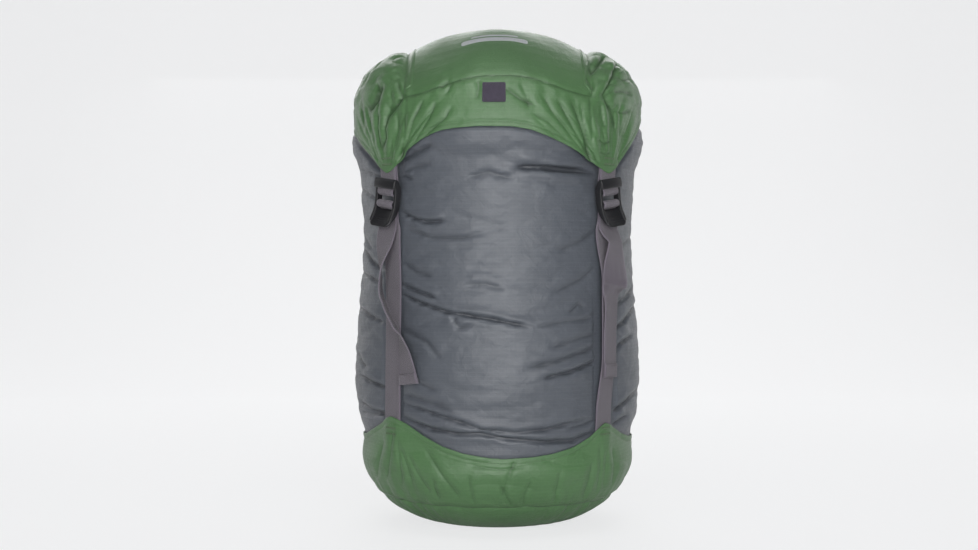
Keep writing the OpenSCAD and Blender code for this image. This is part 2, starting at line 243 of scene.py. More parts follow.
def coords(obj):
    co = np.zeros(len(obj.data.vertices) * 3)
    obj.data.vertices.foreach_get("co", co)
    return co.reshape(-1, 3) * 1000


def set_coords(obj, mm):
    obj.data.vertices.foreach_set("co", (np.asarray(mm) * MM).ravel())
    obj.data.update()


def join(name, objs):
    """One object out of several meshes that share a material."""
    bm = bmesh.new()
    for o in objs:
        bm.from_mesh(o.data)
    mesh = bpy.data.meshes.new(name)
    bm.to_mesh(mesh)
    bm.free()
    for p in mesh.polygons:
        p.use_smooth = True
    for o in objs:
        old = o.data
        bpy.data.objects.remove(o)
        if old.users == 0:
            bpy.data.meshes.remove(old)
    obj = bpy.data.objects.new(name, mesh)
    bpy.context.scene.collection.objects.link(obj)
    return obj


def resample(path, step_mm):
    path = np.asarray(path, float)
    seg = np.linalg.norm(np.diff(path, axis=0), axis=1)
    s = np.concatenate([[0], np.cumsum(seg)])
    n = max(int(round(s[-1] / step_mm)), 2)
    t = np.linspace(0, s[-1], n + 1)
    return np.stack([np.interp(t, s, path[:, k]) for k in range(path.shape[1])], 1), t


def smooth_path(points, per=10):
    """A Catmull-Rom curve through the points; extra columns are carried along."""
    p = np.asarray(points, float)
    p = np.vstack([2 * p[0] - p[1], p, 2 * p[-1] - p[-2]])
    res = []
    for i in range(1, len(p) - 2):
        a, b, c, d = p[i - 1], p[i], p[i + 1], p[i + 2]
        for t in np.linspace(0, 1, per, endpoint=False):
            res.append(0.5 * (2 * b + (c - a) * t + (2 * a - 5 * b + 4 * c - d) * t * t + (3 * b - a - 3 * c + d) * t ** 3))
    res.append(p[-2])
    return np.array(res)


def ribbon(name, centre, across, normal, width, thick, uv_start=0.0, n_across=8, uv_z=None):
    """Webbing: a band with soft edges along centre, with per-point across and normal directions."""
    n = len(centre)
    seg = np.concatenate([[0], np.cumsum(np.linalg.norm(np.diff(centre, axis=0), axis=1))])
    v = uv_start + seg if uv_z is None else uv_z
    a = np.linspace(-0.5, 0.5, n_across + 1)
    a[1] = -0.5 + 0.035
    a[-2] = 0.5 - 0.035
    width = np.broadcast_to(width, (n,))
    edge = np.ones(n_across + 1)
    edge[0] = edge[-1] = 0.35
    edge[1] = edge[-2] = 0.9
    outer = centre[:, None] + across[:, None] * (a[None, :, None] * width[:, None, None]) + normal[:, None] * (thick / 2 * edge[None, :, None])
    inner = centre[:, None] + across[:, None] * (a[None, :, None] * width[:, None, None]) - normal[:, None] * (thick / 2 * edge[None, :, None])
    ring = np.concatenate([outer, inner[:, ::-1]], 1)
    cols = ring.shape[1]
    u = np.concatenate([(a + 0.5) * 1.0, (a[::-1] + 0.5)])
    uv = np.stack([np.broadcast_to(u[None] * WEB, (n, cols)), np.broadcast_to(np.asarray(v)[:, None], (n, cols))], -1).reshape(-1, 2)
    faces = [tuple(f) for f in grid_faces(n, cols, True)]
    h = n_across + 1
    for base, order in ((0, 1), ((n - 1) * cols, -1)):
        for k in range(h - 1):
            f = (base + k, base + k + 1, base + cols - 2 - k, base + cols - 1 - k)
            faces.append(f[::-1] if order == 1 else f)
    faces = [f[::-1] for f in faces]
    obj = make_object(name, ring.reshape(-1, 3), faces, uv)
    fix_normals(obj)
    return obj


def fix_normals(obj):
    bm = bmesh.new()
    bm.from_mesh(obj.data)
    bmesh.ops.recalc_face_normals(bm, faces=bm.faces)
    bm.to_mesh(obj.data)
    bm.free()
    obj.data.update()


def stitches(name, points, normals, length=2.4, gap=1.0, r=0.32, proud=0.1, zig=0.0):
    """Thread laid along points, one capsule per stitch, half sunk into the cloth."""
    points = np.asarray(points, float)
    full = np.hstack([points, np.asarray(normals, float)])
    fine, t = resample(full, 0.4)
    total = t[-1]
    count = max(int(total / (length + gap)), 1)
    verts, faces = [], []
    prof = [(-0.5, 0.25), (-0.42, 0.8), (-0.2, 1.0), (0.2, 1.0), (0.42, 0.8), (0.5, 0.25)]
    for k in range(count):
        mid = (k + 0.5) * total / count
        a, b = mid - length / 2, mid + length / 2
        pa = np.array([np.interp(a, t, fine[:, c]) for c in range(6)])
        pb = np.array([np.interp(b, t, fine[:, c]) for c in range(6)])
        n = pa[3:] + pb[3:]
        n /= np.linalg.norm(n) + 1e-9
        d = pb[:3] - pa[:3]
        L = np.linalg.norm(d)
        d = d / (L + 1e-9)
        side = np.cross(n, d)
        c = (pa[:3] + pb[:3]) / 2 + n * proud + side * (zig if k % 2 else -zig)
        base = len(verts)
        for s, rr in prof:
            for q in range(6):
                w = 2 * math.pi * q / 6
                verts.append(c + d * (s * L) + (side * math.cos(w) + n * math.sin(w)) * r * rr)
        for i in range(len(prof) - 1):
            for q in range(6):
                faces.append((base + i * 6 + q, base + i * 6 + (q + 1) % 6, base + (i + 1) * 6 + (q + 1) % 6, base + (i + 1) * 6 + q))
        faces.append(tuple(base + q for q in range(5, -1, -1)))
        faces.append(tuple(base + (len(prof) - 1) * 6 + q for q in range(6)))
    return make_object(name, np.array(verts), faces)


def bvh_of(obj):
    bm = bmesh.new()
    bm.from_mesh(obj.data)
    tree = BVHTree.FromBMesh(bm)
    bm.free()
    return tree


def hit(tree, origin, direction):
    """First hit, as point and normal in millimetres, or None."""
    # a ray that runs exactly along an edge can slip between two faces, so a miss is tried again beside it
    for dx, dy, dz in ((0, 0, 0), (0.011, 0.017, 0.013), (-0.019, 0.023, -0.017), (0.29, -0.31, 0.07), (-0.7, 0.6, -0.2)):
        loc, nor, _, _ = tree.ray_cast((Vector(origin) + Vector((dx, dy, dz))) * MM, Vector(direction))
        if loc is not None:
            break
    if loc is None:
        return None
    return np.array(loc) * 1000, np.array(nor)


def radial_hit(tree, theta, z, far=260.0):
    d = np.array([math.sin(theta), -math.cos(theta), 0])
    got = hit(tree, d * far + np.array([0, 0, z]), -d)
    return got


# ---------------------------------------------------------------- materials
def new_material(name):
    m = bpy.data.materials.new(name)
    m.use_nodes = True
    nt = m.node_tree
    nt.nodes.clear()
    out = nt.nodes.new("ShaderNodeOutputMaterial")
    bsdf = nt.nodes.new("ShaderNodeBsdfPrincipled")
    nt.links.new(bsdf.outputs[0], out.inputs[0])
    return m, nt, bsdf


class Graph:
    """Short names for building node graphs."""

    def __init__(self, nt):
        self.nt = nt

    def node(self, kind, **inputs):
        n = self.nt.nodes.new(kind)
        for k, v in inputs.items():
            if k.startswith("p_"):
                setattr(n, k[2:], v)
        for k, v in inputs.items():
            if not k.startswith("p_"):
                key = int(k[1:]) if k[0] == "i" and k[1:].isdigit() else k
                sock = n.inputs[key]
                if isinstance(v, bpy.types.NodeSocket):
                    self.nt.links.new(v, sock)
                else:
                    sock.default_value = v
        return n

    def math(self, op, a, b=0.0, c=0.0, clamp=False):
        return self.node("ShaderNodeMath", p_operation=op, p_use_clamp=clamp, i0=a, i1=b, i2=c).outputs[0]

    def mix(self, fac, a, b):
        n = self.nt.nodes.new("ShaderNodeMix")
        n.data_type = "RGBA"
        for idx, v in ((0, fac), (6, a), (7, b)):
            if isinstance(v, bpy.types.NodeSocket):
                self.nt.links.new(v, n.inputs[idx])
            else:
                n.inputs[idx].default_value = v if idx == 0 else (*v[:3], 1.0)
        return n.outputs[2]

    def ramp(self, fac, lo, hi, a=0.0, b=1.0):
        return self.node("ShaderNodeMapRange", i0=fac, i1=lo, i2=hi, i3=a, i4=b).outputs[0]


def uv_mm(g):
    """The cloth's own u and v, in millimetres."""
    uv = g.node("ShaderNodeUVMap", p_uv_map="cloth").outputs[0]
    sep = g.node("ShaderNodeSeparateXYZ", i0=uv)
    return uv, sep.outputs[0], sep.outputs[1]


def ripstop(name, base, dark, rough=0.42, sheen=0.06, grid=3.2, spec=0.62):
    """Coated ripstop nylon: a fine weave, thin doubled threads every few millimetres, a satin face, slight colour
    drift, and painted shade where the fold attribute marks folds and seam tucks.
    """
    m, nt, bsdf = new_material(name)
    g = Graph(nt)
    uv, u, v = uv_mm(g)
    pos = g.node("ShaderNodeTexCoord").outputs["Object"]

    def line(x, pitch, width):
        t = g.math("FRACT", g.math("DIVIDE", x, pitch))
        d = g.math("ABSOLUTE", g.math("SUBTRACT", t, 0.5))
        return g.ramp(d, 0.0, width / pitch, 1.0, 0.0)

    grid_u, grid_v = line(u, grid, 0.42), line(v, grid, 0.5)
    rip = g.math("MAXIMUM", g.math("MULTIPLY", grid_u, 0.45), grid_v)
    wu = g.math("SINE", g.math("MULTIPLY", u, 2 * math.pi / 0.62))
    wv = g.math("SINE", g.math("MULTIPLY", v, 2 * math.pi / 0.62))
    weave = g.math("MULTIPLY", wu, wv)
    cloud = g.node("ShaderNodeTexNoise", Vector=pos, Scale=26.0, Detail=5.0, Roughness=0.6).outputs[0]
    fine = g.node("ShaderNodeTexNoise", Vector=pos, Scale=420.0, Detail=4.0, Roughness=0.65).outputs[0]
    crumple = g.node("ShaderNodeTexNoise", Vector=pos, Scale=95.0, Detail=6.0, Roughness=0.55, Distortion=0.6).outputs[0]
    ridge = g.math("SUBTRACT", 1.0, g.math("ABSOLUTE", g.math("SUBTRACT", g.math("MULTIPLY", crumple, 2.0), 1.0)))
    ridge = g.math("POWER", ridge, 4.0)
    # single picks of the weave dye a little lighter or darker
    pick = g.node("ShaderNodeTexNoise", Vector=g.node("ShaderNodeCombineXYZ", X=g.math("MULTIPLY", u, 0.02), Y=g.math("MULTIPLY", v, 0.9), Z=0.0).outputs[0], Scale=1.0, Detail=3.0, Roughness=0.7).outputs[0]
    col = g.mix(g.ramp(cloud, 0.3, 0.7), base, dark)
    col = g.mix(g.math("MULTIPLY", g.ramp(pick, 0.35, 0.7), 0.10), col, tuple(min(1, c * 1.5 + 0.01) for c in base))
    col = g.mix(g.math("MULTIPLY", rip, 0.11), col, tuple(min(1, c * 1.6 + 0.02) for c in base))
    col = g.mix(g.math("MULTIPLY", g.ramp(fine, 0.35, 0.75), 0.10), col, tuple(c * 0.6 for c in base))
    # painted shade: the fold attribute darkens the colour in fold valleys and seam tucks
    fold = g.node("ShaderNodeAttribute", p_attribute_name="fold").outputs["Fac"]
    col = g.mix(g.math("MULTIPLY", fold, 0.62), col, tuple(c * 0.30 for c in dark))
    nt.links.new(col, bsdf.inputs["Base Color"])
    r = g.math("ADD", g.ramp(cloud, 0.3, 0.7, rough - 0.04, rough + 0.06), g.math("MULTIPLY", rip, -0.04))
    nt.links.new(r, bsdf.inputs["Roughness"])
    bsdf.inputs["Sheen Weight"].default_value = sheen
    bsdf.inputs["Sheen Roughness"].default_value = 0.4
    bsdf.inputs["Specular IOR Level"].default_value = spec
    height = g.math("ADD", g.math("MULTIPLY", rip, 0.07), g.math("MULTIPLY", weave, 0.03))
    height = g.math("ADD", height, g.math("MULTIPLY", ridge, 0.30))
    height = g.math("ADD", height, g.math("MULTIPLY", fine, 0.05))
    height = g.math("ADD", height, g.math("MULTIPLY", pick, 0.10))
    bump = g.node("ShaderNodeBump", Strength=0.5, Distance=0.0011, Height=height)
    nt.links.new(bump.outputs[0], bsdf.inputs["Normal"])
    return m


def webbing_material(name, base, dark):
    """Woven nylon webbing: diagonal twill ribs either side of the middle, and tight selvedges."""
    m, nt, bsdf = new_material(name)
    g = Graph(nt)
    uv, u, v = uv_mm(g)
    pos = g.node("ShaderNodeTexCoord").outputs["Object"]
    mid = g.math("ABSOLUTE", g.math("SUBTRACT", u, WEB / 2))
    tri = g.math("PINGPONG", u, 2.5)
    rib = g.math("SINE", g.math("MULTIPLY", g.math("ADD", v, g.math("MULTIPLY", tri, 0.9)), 2 * math.pi / 1.25))
    cord = g.math("SINE", g.math("MULTIPLY", u, 2 * math.pi / 0.85))
    edge = g.ramp(mid, WEB / 2 - 1.4, WEB / 2 - 0.7)
    weave = g.math("ADD", g.math("MULTIPLY", rib, 0.6), g.math("MULTIPLY", cord, 0.35))
    weave = g.math("MULTIPLY", weave, g.math("SUBTRACT", 1.0, g.math("MULTIPLY", edge, 0.7)))
    fuzz = g.node("ShaderNodeTexNoise", Vector=pos, Scale=900.0, Detail=3.0).outputs[0]
    cloud = g.node("ShaderNodeTexNoise", Vector=pos, Scale=60.0, Detail=4.0).outputs[0]
    # painted shade: the colour follows the weave's height, so the grooves between the ribs are darker
    col = g.mix(g.ramp(weave, -0.9, 0.9), dark, base)
    col = g.mix(g.math("MULTIPLY", g.ramp(cloud, 0.35, 0.7), 0.35), col, tuple(c * 0.72 for c in base))
    col = g.mix(g.math("MULTIPLY", edge, 0.35), col, tuple(min(1, c * 1.25) for c in base))
    nt.links.new(col, bsdf.inputs["Base Color"])
    bsdf.inputs["Roughness"].default_value = 0.78
    bsdf.inputs["Sheen Weight"].default_value = 0.35
    bsdf.inputs["Sheen Roughness"].default_value = 0.5
    bsdf.inputs["Specular IOR Level"].default_value = 0.3
    height = g.math("ADD", weave, g.math("MULTIPLY", fuzz, 0.5))
    bump = g.node("ShaderNodeBump", Strength=0.85, Distance=0.0006, Height=height)
    nt.links.new(bump.outputs[0], bsdf.inputs["Normal"])
    return m


def plastic_material(name, base, rough=0.32):
    """Moulded acetal: fine spark texture, soft painted highlights on the edges, slight scuffing."""
    m, nt, bsdf = new_material(name)
    g = Graph(nt)
    pos = g.node("ShaderNodeTexCoord").outputs["Object"]
    grain = g.node("ShaderNodeTexNoise", Vector=pos, Scale=1600.0, Detail=3.0).outputs[0]
    scuff = g.node("ShaderNodeTexNoise", Vector=pos, Scale=140.0, Detail=8.0, Roughness=0.75).outputs[0]
    rub = g.ramp(scuff, 0.58, 0.72)
    point = g.node("ShaderNodeNewGeometry").outputs["Pointiness"]
    # painted highlight: the colour lightens on convex edges; the scuffs mixed in with it are real wear
    edge_highlight = g.math("MULTIPLY", g.ramp(point, 0.52, 0.60), 0.5)
    col = g.mix(g.math("MAXIMUM", g.math("MULTIPLY", rub, 0.25), edge_highlight), base, tuple(min(1, c * 2.6 + 0.012) for c in base))
    nt.links.new(col, bsdf.inputs["Base Color"])
    nt.links.new(g.math("ADD", g.math("MULTIPLY", rub, 0.14), g.ramp(grain, 0.3, 0.7, rough - 0.04, rough + 0.06)), bsdf.inputs["Roughness"])
    bsdf.inputs["Specular IOR Level"].default_value = 0.5
    bump = g.node("ShaderNodeBump", Strength=0.18, Distance=0.0002, Height=grain)
    nt.links.new(bump.outputs[0], bsdf.inputs["Normal"])
    return m


def cord_material(name, base):
    m, nt, bsdf = new_material(name)
    g = Graph(nt)
    pos = g.node("ShaderNodeTexCoord").outputs["Object"]
    w1 = g.node("ShaderNodeTexWave", p_bands_direction="DIAGONAL", Vector=pos, Scale=330.0, Distortion=0.6).outputs["Fac"]
    w2 = g.node("ShaderNodeTexWave", p_bands_direction="Z", Vector=pos, Scale=420.0, Distortion=0.6).outputs["Fac"]
    h = g.math("MULTIPLY", w1, w2)
    # painted shade: the colour follows the braid's height, so its grooves are darker
    col = g.mix(h, tuple(c * 0.5 for c in base), base)
    nt.links.new(col, bsdf.inputs["Base Color"])
    bsdf.inputs["Roughness"].default_value = 0.7
    bsdf.inputs["Sheen Weight"].default_value = 0.3
    bump = g.node("ShaderNodeBump", Strength=0.6, Distance=0.0004, Height=h)
    nt.links.new(bump.outputs[0], bsdf.inputs["Normal"])
    return m


def thread_material(name, base):
    m, nt, bsdf = new_material(name)
    g = Graph(nt)
    pos = g.node("ShaderNodeTexCoord").outputs["Object"]
    tw = g.node("ShaderNodeTexNoise", Vector=pos, Scale=1500.0, Detail=2.0).outputs[0]
    col = g.mix(tw, tuple(c * 0.6 for c in base), tuple(min(1, c * 1.3) for c in base))
    nt.links.new(col, bsdf.inputs["Base Color"])
    bsdf.inputs["Roughness"].default_value = 0.6
    bsdf.inputs["Sheen Weight"].default_value = 0.2
    bump = g.node("ShaderNodeBump", Strength=0.4, Distance=0.0002, Height=tw)
    nt.links.new(bump.outputs[0], bsdf.inputs["Normal"])
    return m


def metal_material(name, base, rough, metallic=1.0):
    m, nt, bsdf = new_material(name)
    g = Graph(nt)
    pos = g.node("ShaderNodeTexCoord").outputs["Object"]
    n = g.node("ShaderNodeTexNoise", Vector=pos, Scale=700.0, Detail=6.0, Roughness=0.7).outputs[0]
    col = g.mix(g.ramp(n, 0.4, 0.7), base, tuple(c * 0.75 for c in base))
    nt.links.new(col, bsdf.inputs["Base Color"])
    nt.links.new(g.ramp(n, 0.3, 0.7, rough - 0.06, rough + 0.1), bsdf.inputs["Roughness"])
    bsdf.inputs["Metallic"].default_value = metallic
    bump = g.node("ShaderNodeBump", Strength=0.15, Distance=0.0001, Height=n)
    nt.links.new(bump.outputs[0], bsdf.inputs["Normal"])
    return m


def print_material(name, base):
    """Screen-printed ink with a slightly broken edge over the weave."""
    m, nt, bsdf = new_material(name)
    g = Graph(nt)
    pos = g.node("ShaderNodeTexCoord").outputs["Object"]
    n = g.node("ShaderNodeTexNoise", Vector=pos, Scale=900.0, Detail=5.0, Roughness=0.7).outputs[0]
    col = g.mix(g.ramp(n, 0.50, 0.75), base, tuple(c * 0.62 for c in base))
    nt.links.new(col, bsdf.inputs["Base Color"])
    bsdf.inputs["Roughness"].default_value = 0.5
    bump = g.node("ShaderNodeBump", Strength=0.3, Distance=0.0003, Height=n)
    nt.links.new(bump.outputs[0], bsdf.inputs["Normal"])
    return m


def label_material(name, base):
    m, nt, bsdf = new_material(name)
    g = Graph(nt)
    uv, u, v = uv_mm(g)
    wv = g.math("MULTIPLY", g.math("SINE", g.math("MULTIPLY", u, 2 * math.pi / 0.5)), g.math("SINE", g.math("MULTIPLY", v, 2 * math.pi / 0.7)))
    pos = g.node("ShaderNodeTexCoord").outputs["Object"]
    n = g.node("ShaderNodeTexNoise", Vector=pos, Scale=300.0, Detail=4.0).outputs[0]
    col = g.mix(g.math("MULTIPLY", g.ramp(wv, -1, 1), 0.5), base, tuple(c * 0.55 for c in base))
    col = g.mix(g.math("MULTIPLY", g.ramp(n, 0.4, 0.7), 0.3), col, tuple(min(1, c * 1.6) for c in base))
    nt.links.new(col, bsdf.inputs["Base Color"])
    bsdf.inputs["Roughness"].default_value = 0.7
    bsdf.inputs["Sheen Weight"].default_value = 0.3
    bump = g.node("ShaderNodeBump", Strength=0.5, Distance=0.0003, Height=wv)
    nt.links.new(bump.outputs[0], bsdf.inputs["Normal"])
    return m


GREEN, GREEN_D = (0.082, 0.180, 0.071), (0.066, 0.150, 0.057)
GREY, GREY_D = (0.098, 0.109, 0.128), (0.078, 0.088, 0.105)
M = {
    "cap_fabric": ripstop("green_ripstop", GREEN, GREEN_D),
    "body_fabric": ripstop("grey_ripstop", GREY, GREY_D),
    "webbing": webbing_material("mauve_webbing", (0.190, 0.165, 0.205), (0.080, 0.069, 0.087)),
    "buckle_plastic": plastic_material("black_acetal", (0.014, 0.014, 0.016)),
    "plunger_plastic": plastic_material("black_acetal_button", (0.022, 0.022, 0.025), 0.38),
    "cord": cord_material("black_cord", (0.05, 0.05, 0.055)),
    "thread_green": thread_material("green_thread", (0.085, 0.150, 0.070)),
    "thread": thread_material("dark_thread", (0.055, 0.055, 0.06)),
    "thread_web": thread_material("webbing_thread", (0.12, 0.105, 0.125)),
    "label_cloth": label_material("label_weave", (0.050, 0.040, 0.066)),
    "print_ink": print_material("grey_ink", (0.46, 0.48, 0.50)),
    "eyelet_metal": metal_material("black_brass", (0.03, 0.03, 0.032), 0.35, 0.6),
    "spring_steel": metal_material("spring_steel", (0.55, 0.55, 0.57), 0.28),
    "binding": webbing_material("black_binding", (0.035, 0.035, 0.038), (0.015, 0.015, 0.017)),
}


def give(obj, key):
    obj.data.materials.clear()
    obj.data.materials.append(M[key])
    return obj


# CAD nodes that stay, with a finished material
def keep_node(node, key, bevel=0.0):
    o = frame["nodes"][node]
    o.data.materials.clear()
    o.data.materials.append(M[key])
    if bevel:
        b = o.modifiers.new("edge", "BEVEL")
        b.width, b.segments, b.limit_method, b.angle_limit = bevel * MM, 3, "ANGLE", math.radians(40)
    return o


# ---------------------------------------------------------------- body cloth
SIDE_Z = [20, 52, 66, 80, 94, 116, 130, 152, 181, 202, 224, 260, 275, 296, 310, 318, 326, 336, 346, 354, 362]
SIDE_R = [112, 118, 119.0, 119.6, 124.0, 127.4, 128.0, 127.4, 125.4, 123.4, 121.4, 120.6, 121.4, 122.6, 123.8, 126.2, 129.6, 131.6, 130.0, 124.0, 119.0]


def body_radius(theta, z):
    near, t, front = to_strap(theta)
    side = np.interp(z, SIDE_Z, SIDE_R)
    r0 = np.interp(z, [20, 40, 60, 90, 110, 300, 345, 362], [100, 111.5, 116.5, 118.6, 118.7, 118.7, 118.5, 117.6])
    lobe = np.sin(np.pi / 2 * np.clip(t, 0, 1)) ** 0.75
    front_gain = np.where(front, 0.9, 1.0)
    return r0 + (side - r0) * lobe * front_gain


def ring(theta, cells):
    return (np.asarray(theta) + np.pi) / (2 * np.pi) * cells


def fold_height(theta, z, seed):
    """Creased cloth: rounded rolls between sharp valleys, mostly level, in millimetres."""
    wx = noise(ring(theta, 8), z / 60.0, seed + 5, 8) * 0.28
    wz = noise(ring(theta, 11), z / 50.0, seed + 9, 11) * 12
    n1 = noise(ring(theta, 8) + wx, (z + wz) / 27.0, seed, 8)
    n2 = noise(ring(theta, 14) - wx, (z - wz) / 15.0, seed + 1, 14)
    n3 = noise(ring(theta, 40) + wx, (z + wz * 2) / 9.0, seed + 2, 40)
    return 2.4 * np.abs(n1) ** 0.55 + 1.1 * np.abs(n2) ** 0.6 + 0.30 * n3 - 2.2


# Each fold: depth, half width, then points (across, height) as seen square on from the front, in the plane through the axis.
BODY_FOLDS = [
    (4.2, 2.6, 17.6, 315.0, 31.1, 315.0, 47.2, 314.1, 83.2, 310.5),
    (2.2, 1.5, 42.8, 314.1, 69.8, 312.3, 95.0, 306.9),
    (3.2, 1.5, -88.7, 275.4, -77.0, 269.1, -65.2, 265.5, -47.2, 266.4),
    (2.4, 1.6, -89.5, 305.1, -84.2, 306.0, -77.0, 304.2),
    (2.2, 2.2, -86.0, 321.3, -75.2, 328.5, -59.0, 335.7),
    (1.6, 2.0, -84.2, 311.4, -73.4, 315.9, -60.8, 317.7),
    (1.8, 1.8, -80.5, 258.3, -60.8, 252.0, -33.8, 251.1, -14.0, 255.6),
    (3.4, 1.5, -88.7, 209.7, -74.2, 203.4, -54.5, 196.2),
    (3.6, 1.5, -87.8, 200.7, -69.8, 192.6, -47.2, 184.5, -6.8, 178.2, 33.8, 170.1),
    (2.0, 1.5, -41.0, 179.1, -35.6, 170.1, -22.9, 172.8),
    (1.6, 1.5, 38.2, 171.0, 60.8, 175.5, 92.2, 179.1),
    (1.6, 1.4, 65.2, 184.5, 72.5, 191.7, 77.9, 188.1),
    (3.4, 1.7, 42.8, 125.1, 65.2, 130.5, 95.9, 143.1),
    (2.2, 2.2, 29.2, 134.1, 54.5, 140.4, 95.0, 154.8),
    (1.7, 2.2, 49.1, 152.1, 69.8, 159.3, 95.0, 166.5),
    (3.4, 1.6, -86.0, 89.1, -60.8, 79.2, -38.2, 74.7, -15.8, 74.7, 2.2, 71.1, 38.2, 67.5, 67.0, 68.4, 94.0, 79.2),
    (2.8, 1.6, -86.0, 102.6, -60.8, 93.6, -38.2, 86.4, -15.8, 78.3, 15.8, 75.6, 42.8, 78.3, 69.8, 85.5, 94.0, 91.8),
    (2.4, 1.5, 63.5, 79.2, 78.8, 83.7, 94.0, 90.0),
    (2.0, 2.2, -84.2, 110.7, -65.2, 103.5, -41.0, 95.4),
    (1.6, 2.4, -87.8, 229.5, -74.2, 220.5, -59.0, 216.0),
    (1.5, 2.4, -86.0, 168.3, -65.2, 157.5, -51.8, 141.3),
    (1.5, 2.4, -84.2, 130.5, -69.8, 119.7, -55.4, 112.5),
    (1.4, 2.6, 56.2, 240.3, 74.2, 247.5, 92.2, 260.1),
    (1.5, 2.6, 52.6, 202.5, 74.2, 213.3, 93.2, 229.5),
    (1.5, 2.2, -24.8, 306.9, -8.6, 310.5, 13.1, 304.2),
    (1.3, 2.0, -26.6, 208.8, -11.2, 209.7, 6.8, 204.3),
    (3.2, 1.9, 104.0, 95.4, 115.7, 103.5, 129.2, 117.9),
    (2.8, 1.9, 103.0, 168.3, 113.9, 175.5, 128.2, 197.1),
    (2.6, 1.8, 104.0, 148.5, 110.2, 155.7, 122.9, 164.7),
    (2.4, 1.6, 103.0, 82.8, 108.5, 86.4, 117.5, 91.8),
    (2.4, 1.8, 107.5, 191.7, 115.7, 198.0, 122.9, 207.9),
    (1.8, 1.8, 106.7, 240.3, 117.5, 249.3, 124.7, 256.5),
    (3.2, 1.7, -123.8, 127.8, -114.8, 121.5, -100.4, 116.1),
    (3.0, 1.6, -122.9, 103.5, -113.0, 96.3, -99.5, 92.7),
    (2.0, 1.6, -122.0, 94.5, -111.2, 92.7, -100.4, 92.7),
    (2.4, 1.8, -125.5, 189.9, -114.8, 180.9, -102.2, 174.6),
    (2.4, 1.8, -126.5, 148.5, -122.9, 139.5, -118.4, 134.1),
    (2.8, 1.6, -121.0, 242.1, -113.0, 229.5, -103.0, 221.4),
    (2.6, 1.6, -123.8, 221.4, -114.8, 216.0, -104.9, 210.6),
    (2.0, 1.6, -120.2, 252.9, -116.5, 245.7, -113.0, 240.3),
    (2.0, 1.6, -123.8, 296.1, -116.5, 290.7, -107.5, 285.3),
    (2.6, 2.2, -130.1, 341.1, -122.0, 330.3, -111.2, 317.7, -100.4, 306.9),
    (2.0, 2.0, -122.0, 312.3, -113.0, 308.7, -102.2, 305.1),
    (2.0, 2.2, 103.0, 306.9, 112.0, 321.3, 122.9, 337.5),
]
CAP_FOLDS = [
    (5.0, 2.6, -104.0, 387.9, -108.5, 378.0, -115.7, 364.5),
    (4.4, 1.7, -86.0, 378.0, -92.2, 368.1, -99.5, 360.0, -102.2, 350.1, -101.2, 341.1, -104.9, 328.5),
    (3.0, 1.8, -108.5, 389.7, -107.5, 371.7, -108.5, 350.1, -105.8, 328.5),
    (1.8, 2.2, -116.5, 371.7, -114.8, 353.7, -110.2, 333.9),
    (1.6, 2.2, -122.9, 378.9, -122.0, 364.5, -120.2, 346.5),
    (3.0, 1.7, -90.5, 391.5, -88.7, 384.3, -85.0, 377.1),
    (1.8, 2.2, -100.4, 396.9, -95.0, 393.3, -87.8, 395.1),
    (2.0, 2.0, -95.9, 382.5, -95.0, 371.7, -96.8, 364.5),
    (1.8, 1.8, -83.2, 377.1, -84.2, 350.1, -86.9, 321.3),
    (2.2, 1.8, -89.5, 319.5, -81.5, 339.3, -77.0, 357.3, -66.2, 378.0),
    (1.8, 1.8, -84.2, 323.1, -73.4, 341.1, -62.6, 359.1, -54.5, 377.1),
    (1.5, 2.0, -77.0, 330.3, -62.6, 346.5, -48.1, 359.1, -41.0, 371.7),
    (1.5, 1.8, -91.4, 330.3, -88.7, 348.3, -84.2, 364.5),
    (2.2, 1.7, -51.8, 386.1, -47.2, 389.7, -43.6, 393.3),
    (1.7, 1.8, -46.4, 381.6, -43.6, 387.0, -41.9, 392.4),
    (1.5, 2.0, -19.4, 377.1, -17.6, 386.1, -18.4, 394.2),
    (1.8, 2.2, 6.8, 386.1, 18.4, 377.1, 34.6, 369.9),
    (1.2, 2.4, 20.2, 389.7, 25.7, 378.9, 27.4, 366.3),
    (4.0, 1.6, 81.5, 398.7, 87.8, 405.0, 95.9, 414.9),
    (3.8, 1.6, 94.0, 379.8, 100.4, 389.7, 105.8, 402.3, 107.5, 411.3),
    (2.6, 1.5, 79.7, 394.2, 83.2, 389.7, 86.0, 383.4),
    (2.2, 1.8, 95.0, 378.0, 102.2, 382.5, 112.0, 383.4, 122.9, 380.7),
    (1.8, 1.8, 98.5, 404.1, 104.9, 401.4, 112.0, 403.2),
    (1.8, 1.8, 105.8, 396.0, 113.0, 393.3, 122.0, 395.1),
    (1.8, 2.0, 101.2, 368.1, 110.2, 363.6, 121.0, 364.5),
    (4.0, 1.7, 95.9, 377.1, 99.5, 368.1, 102.2, 359.1, 104.9, 346.5),
    (2.2, 1.6, 92.2, 371.7, 94.0, 357.3, 97.7, 348.3),
    (2.0, 1.6, 90.5, 340.2, 95.9, 335.7, 102.2, 338.4),
    (1.8, 1.6, 91.4, 328.5, 96.8, 325.8, 101.2, 328.5),
    (1.8, 1.8, 82.4, 377.1, 84.2, 357.3, 85.0, 332.1),
    (2.4, 1.9, 85.0, 317.7, 79.7, 333.9, 74.2, 351.9, 65.2, 377.1),
    (2.2, 1.9, 83.2, 321.3, 72.5, 341.1, 63.5, 357.3, 52.6, 378.0),
    (1.7, 2.0, 76.0, 328.5, 61.6, 348.3, 49.1, 364.5, 38.2, 382.5),
    (1.6, 1.8, 81.5, 330.3, 77.0, 353.7, 73.4, 373.5),
    (1.4, 2.4, 61.6, 339.3, 45.5, 355.5, 29.2, 364.5),
]
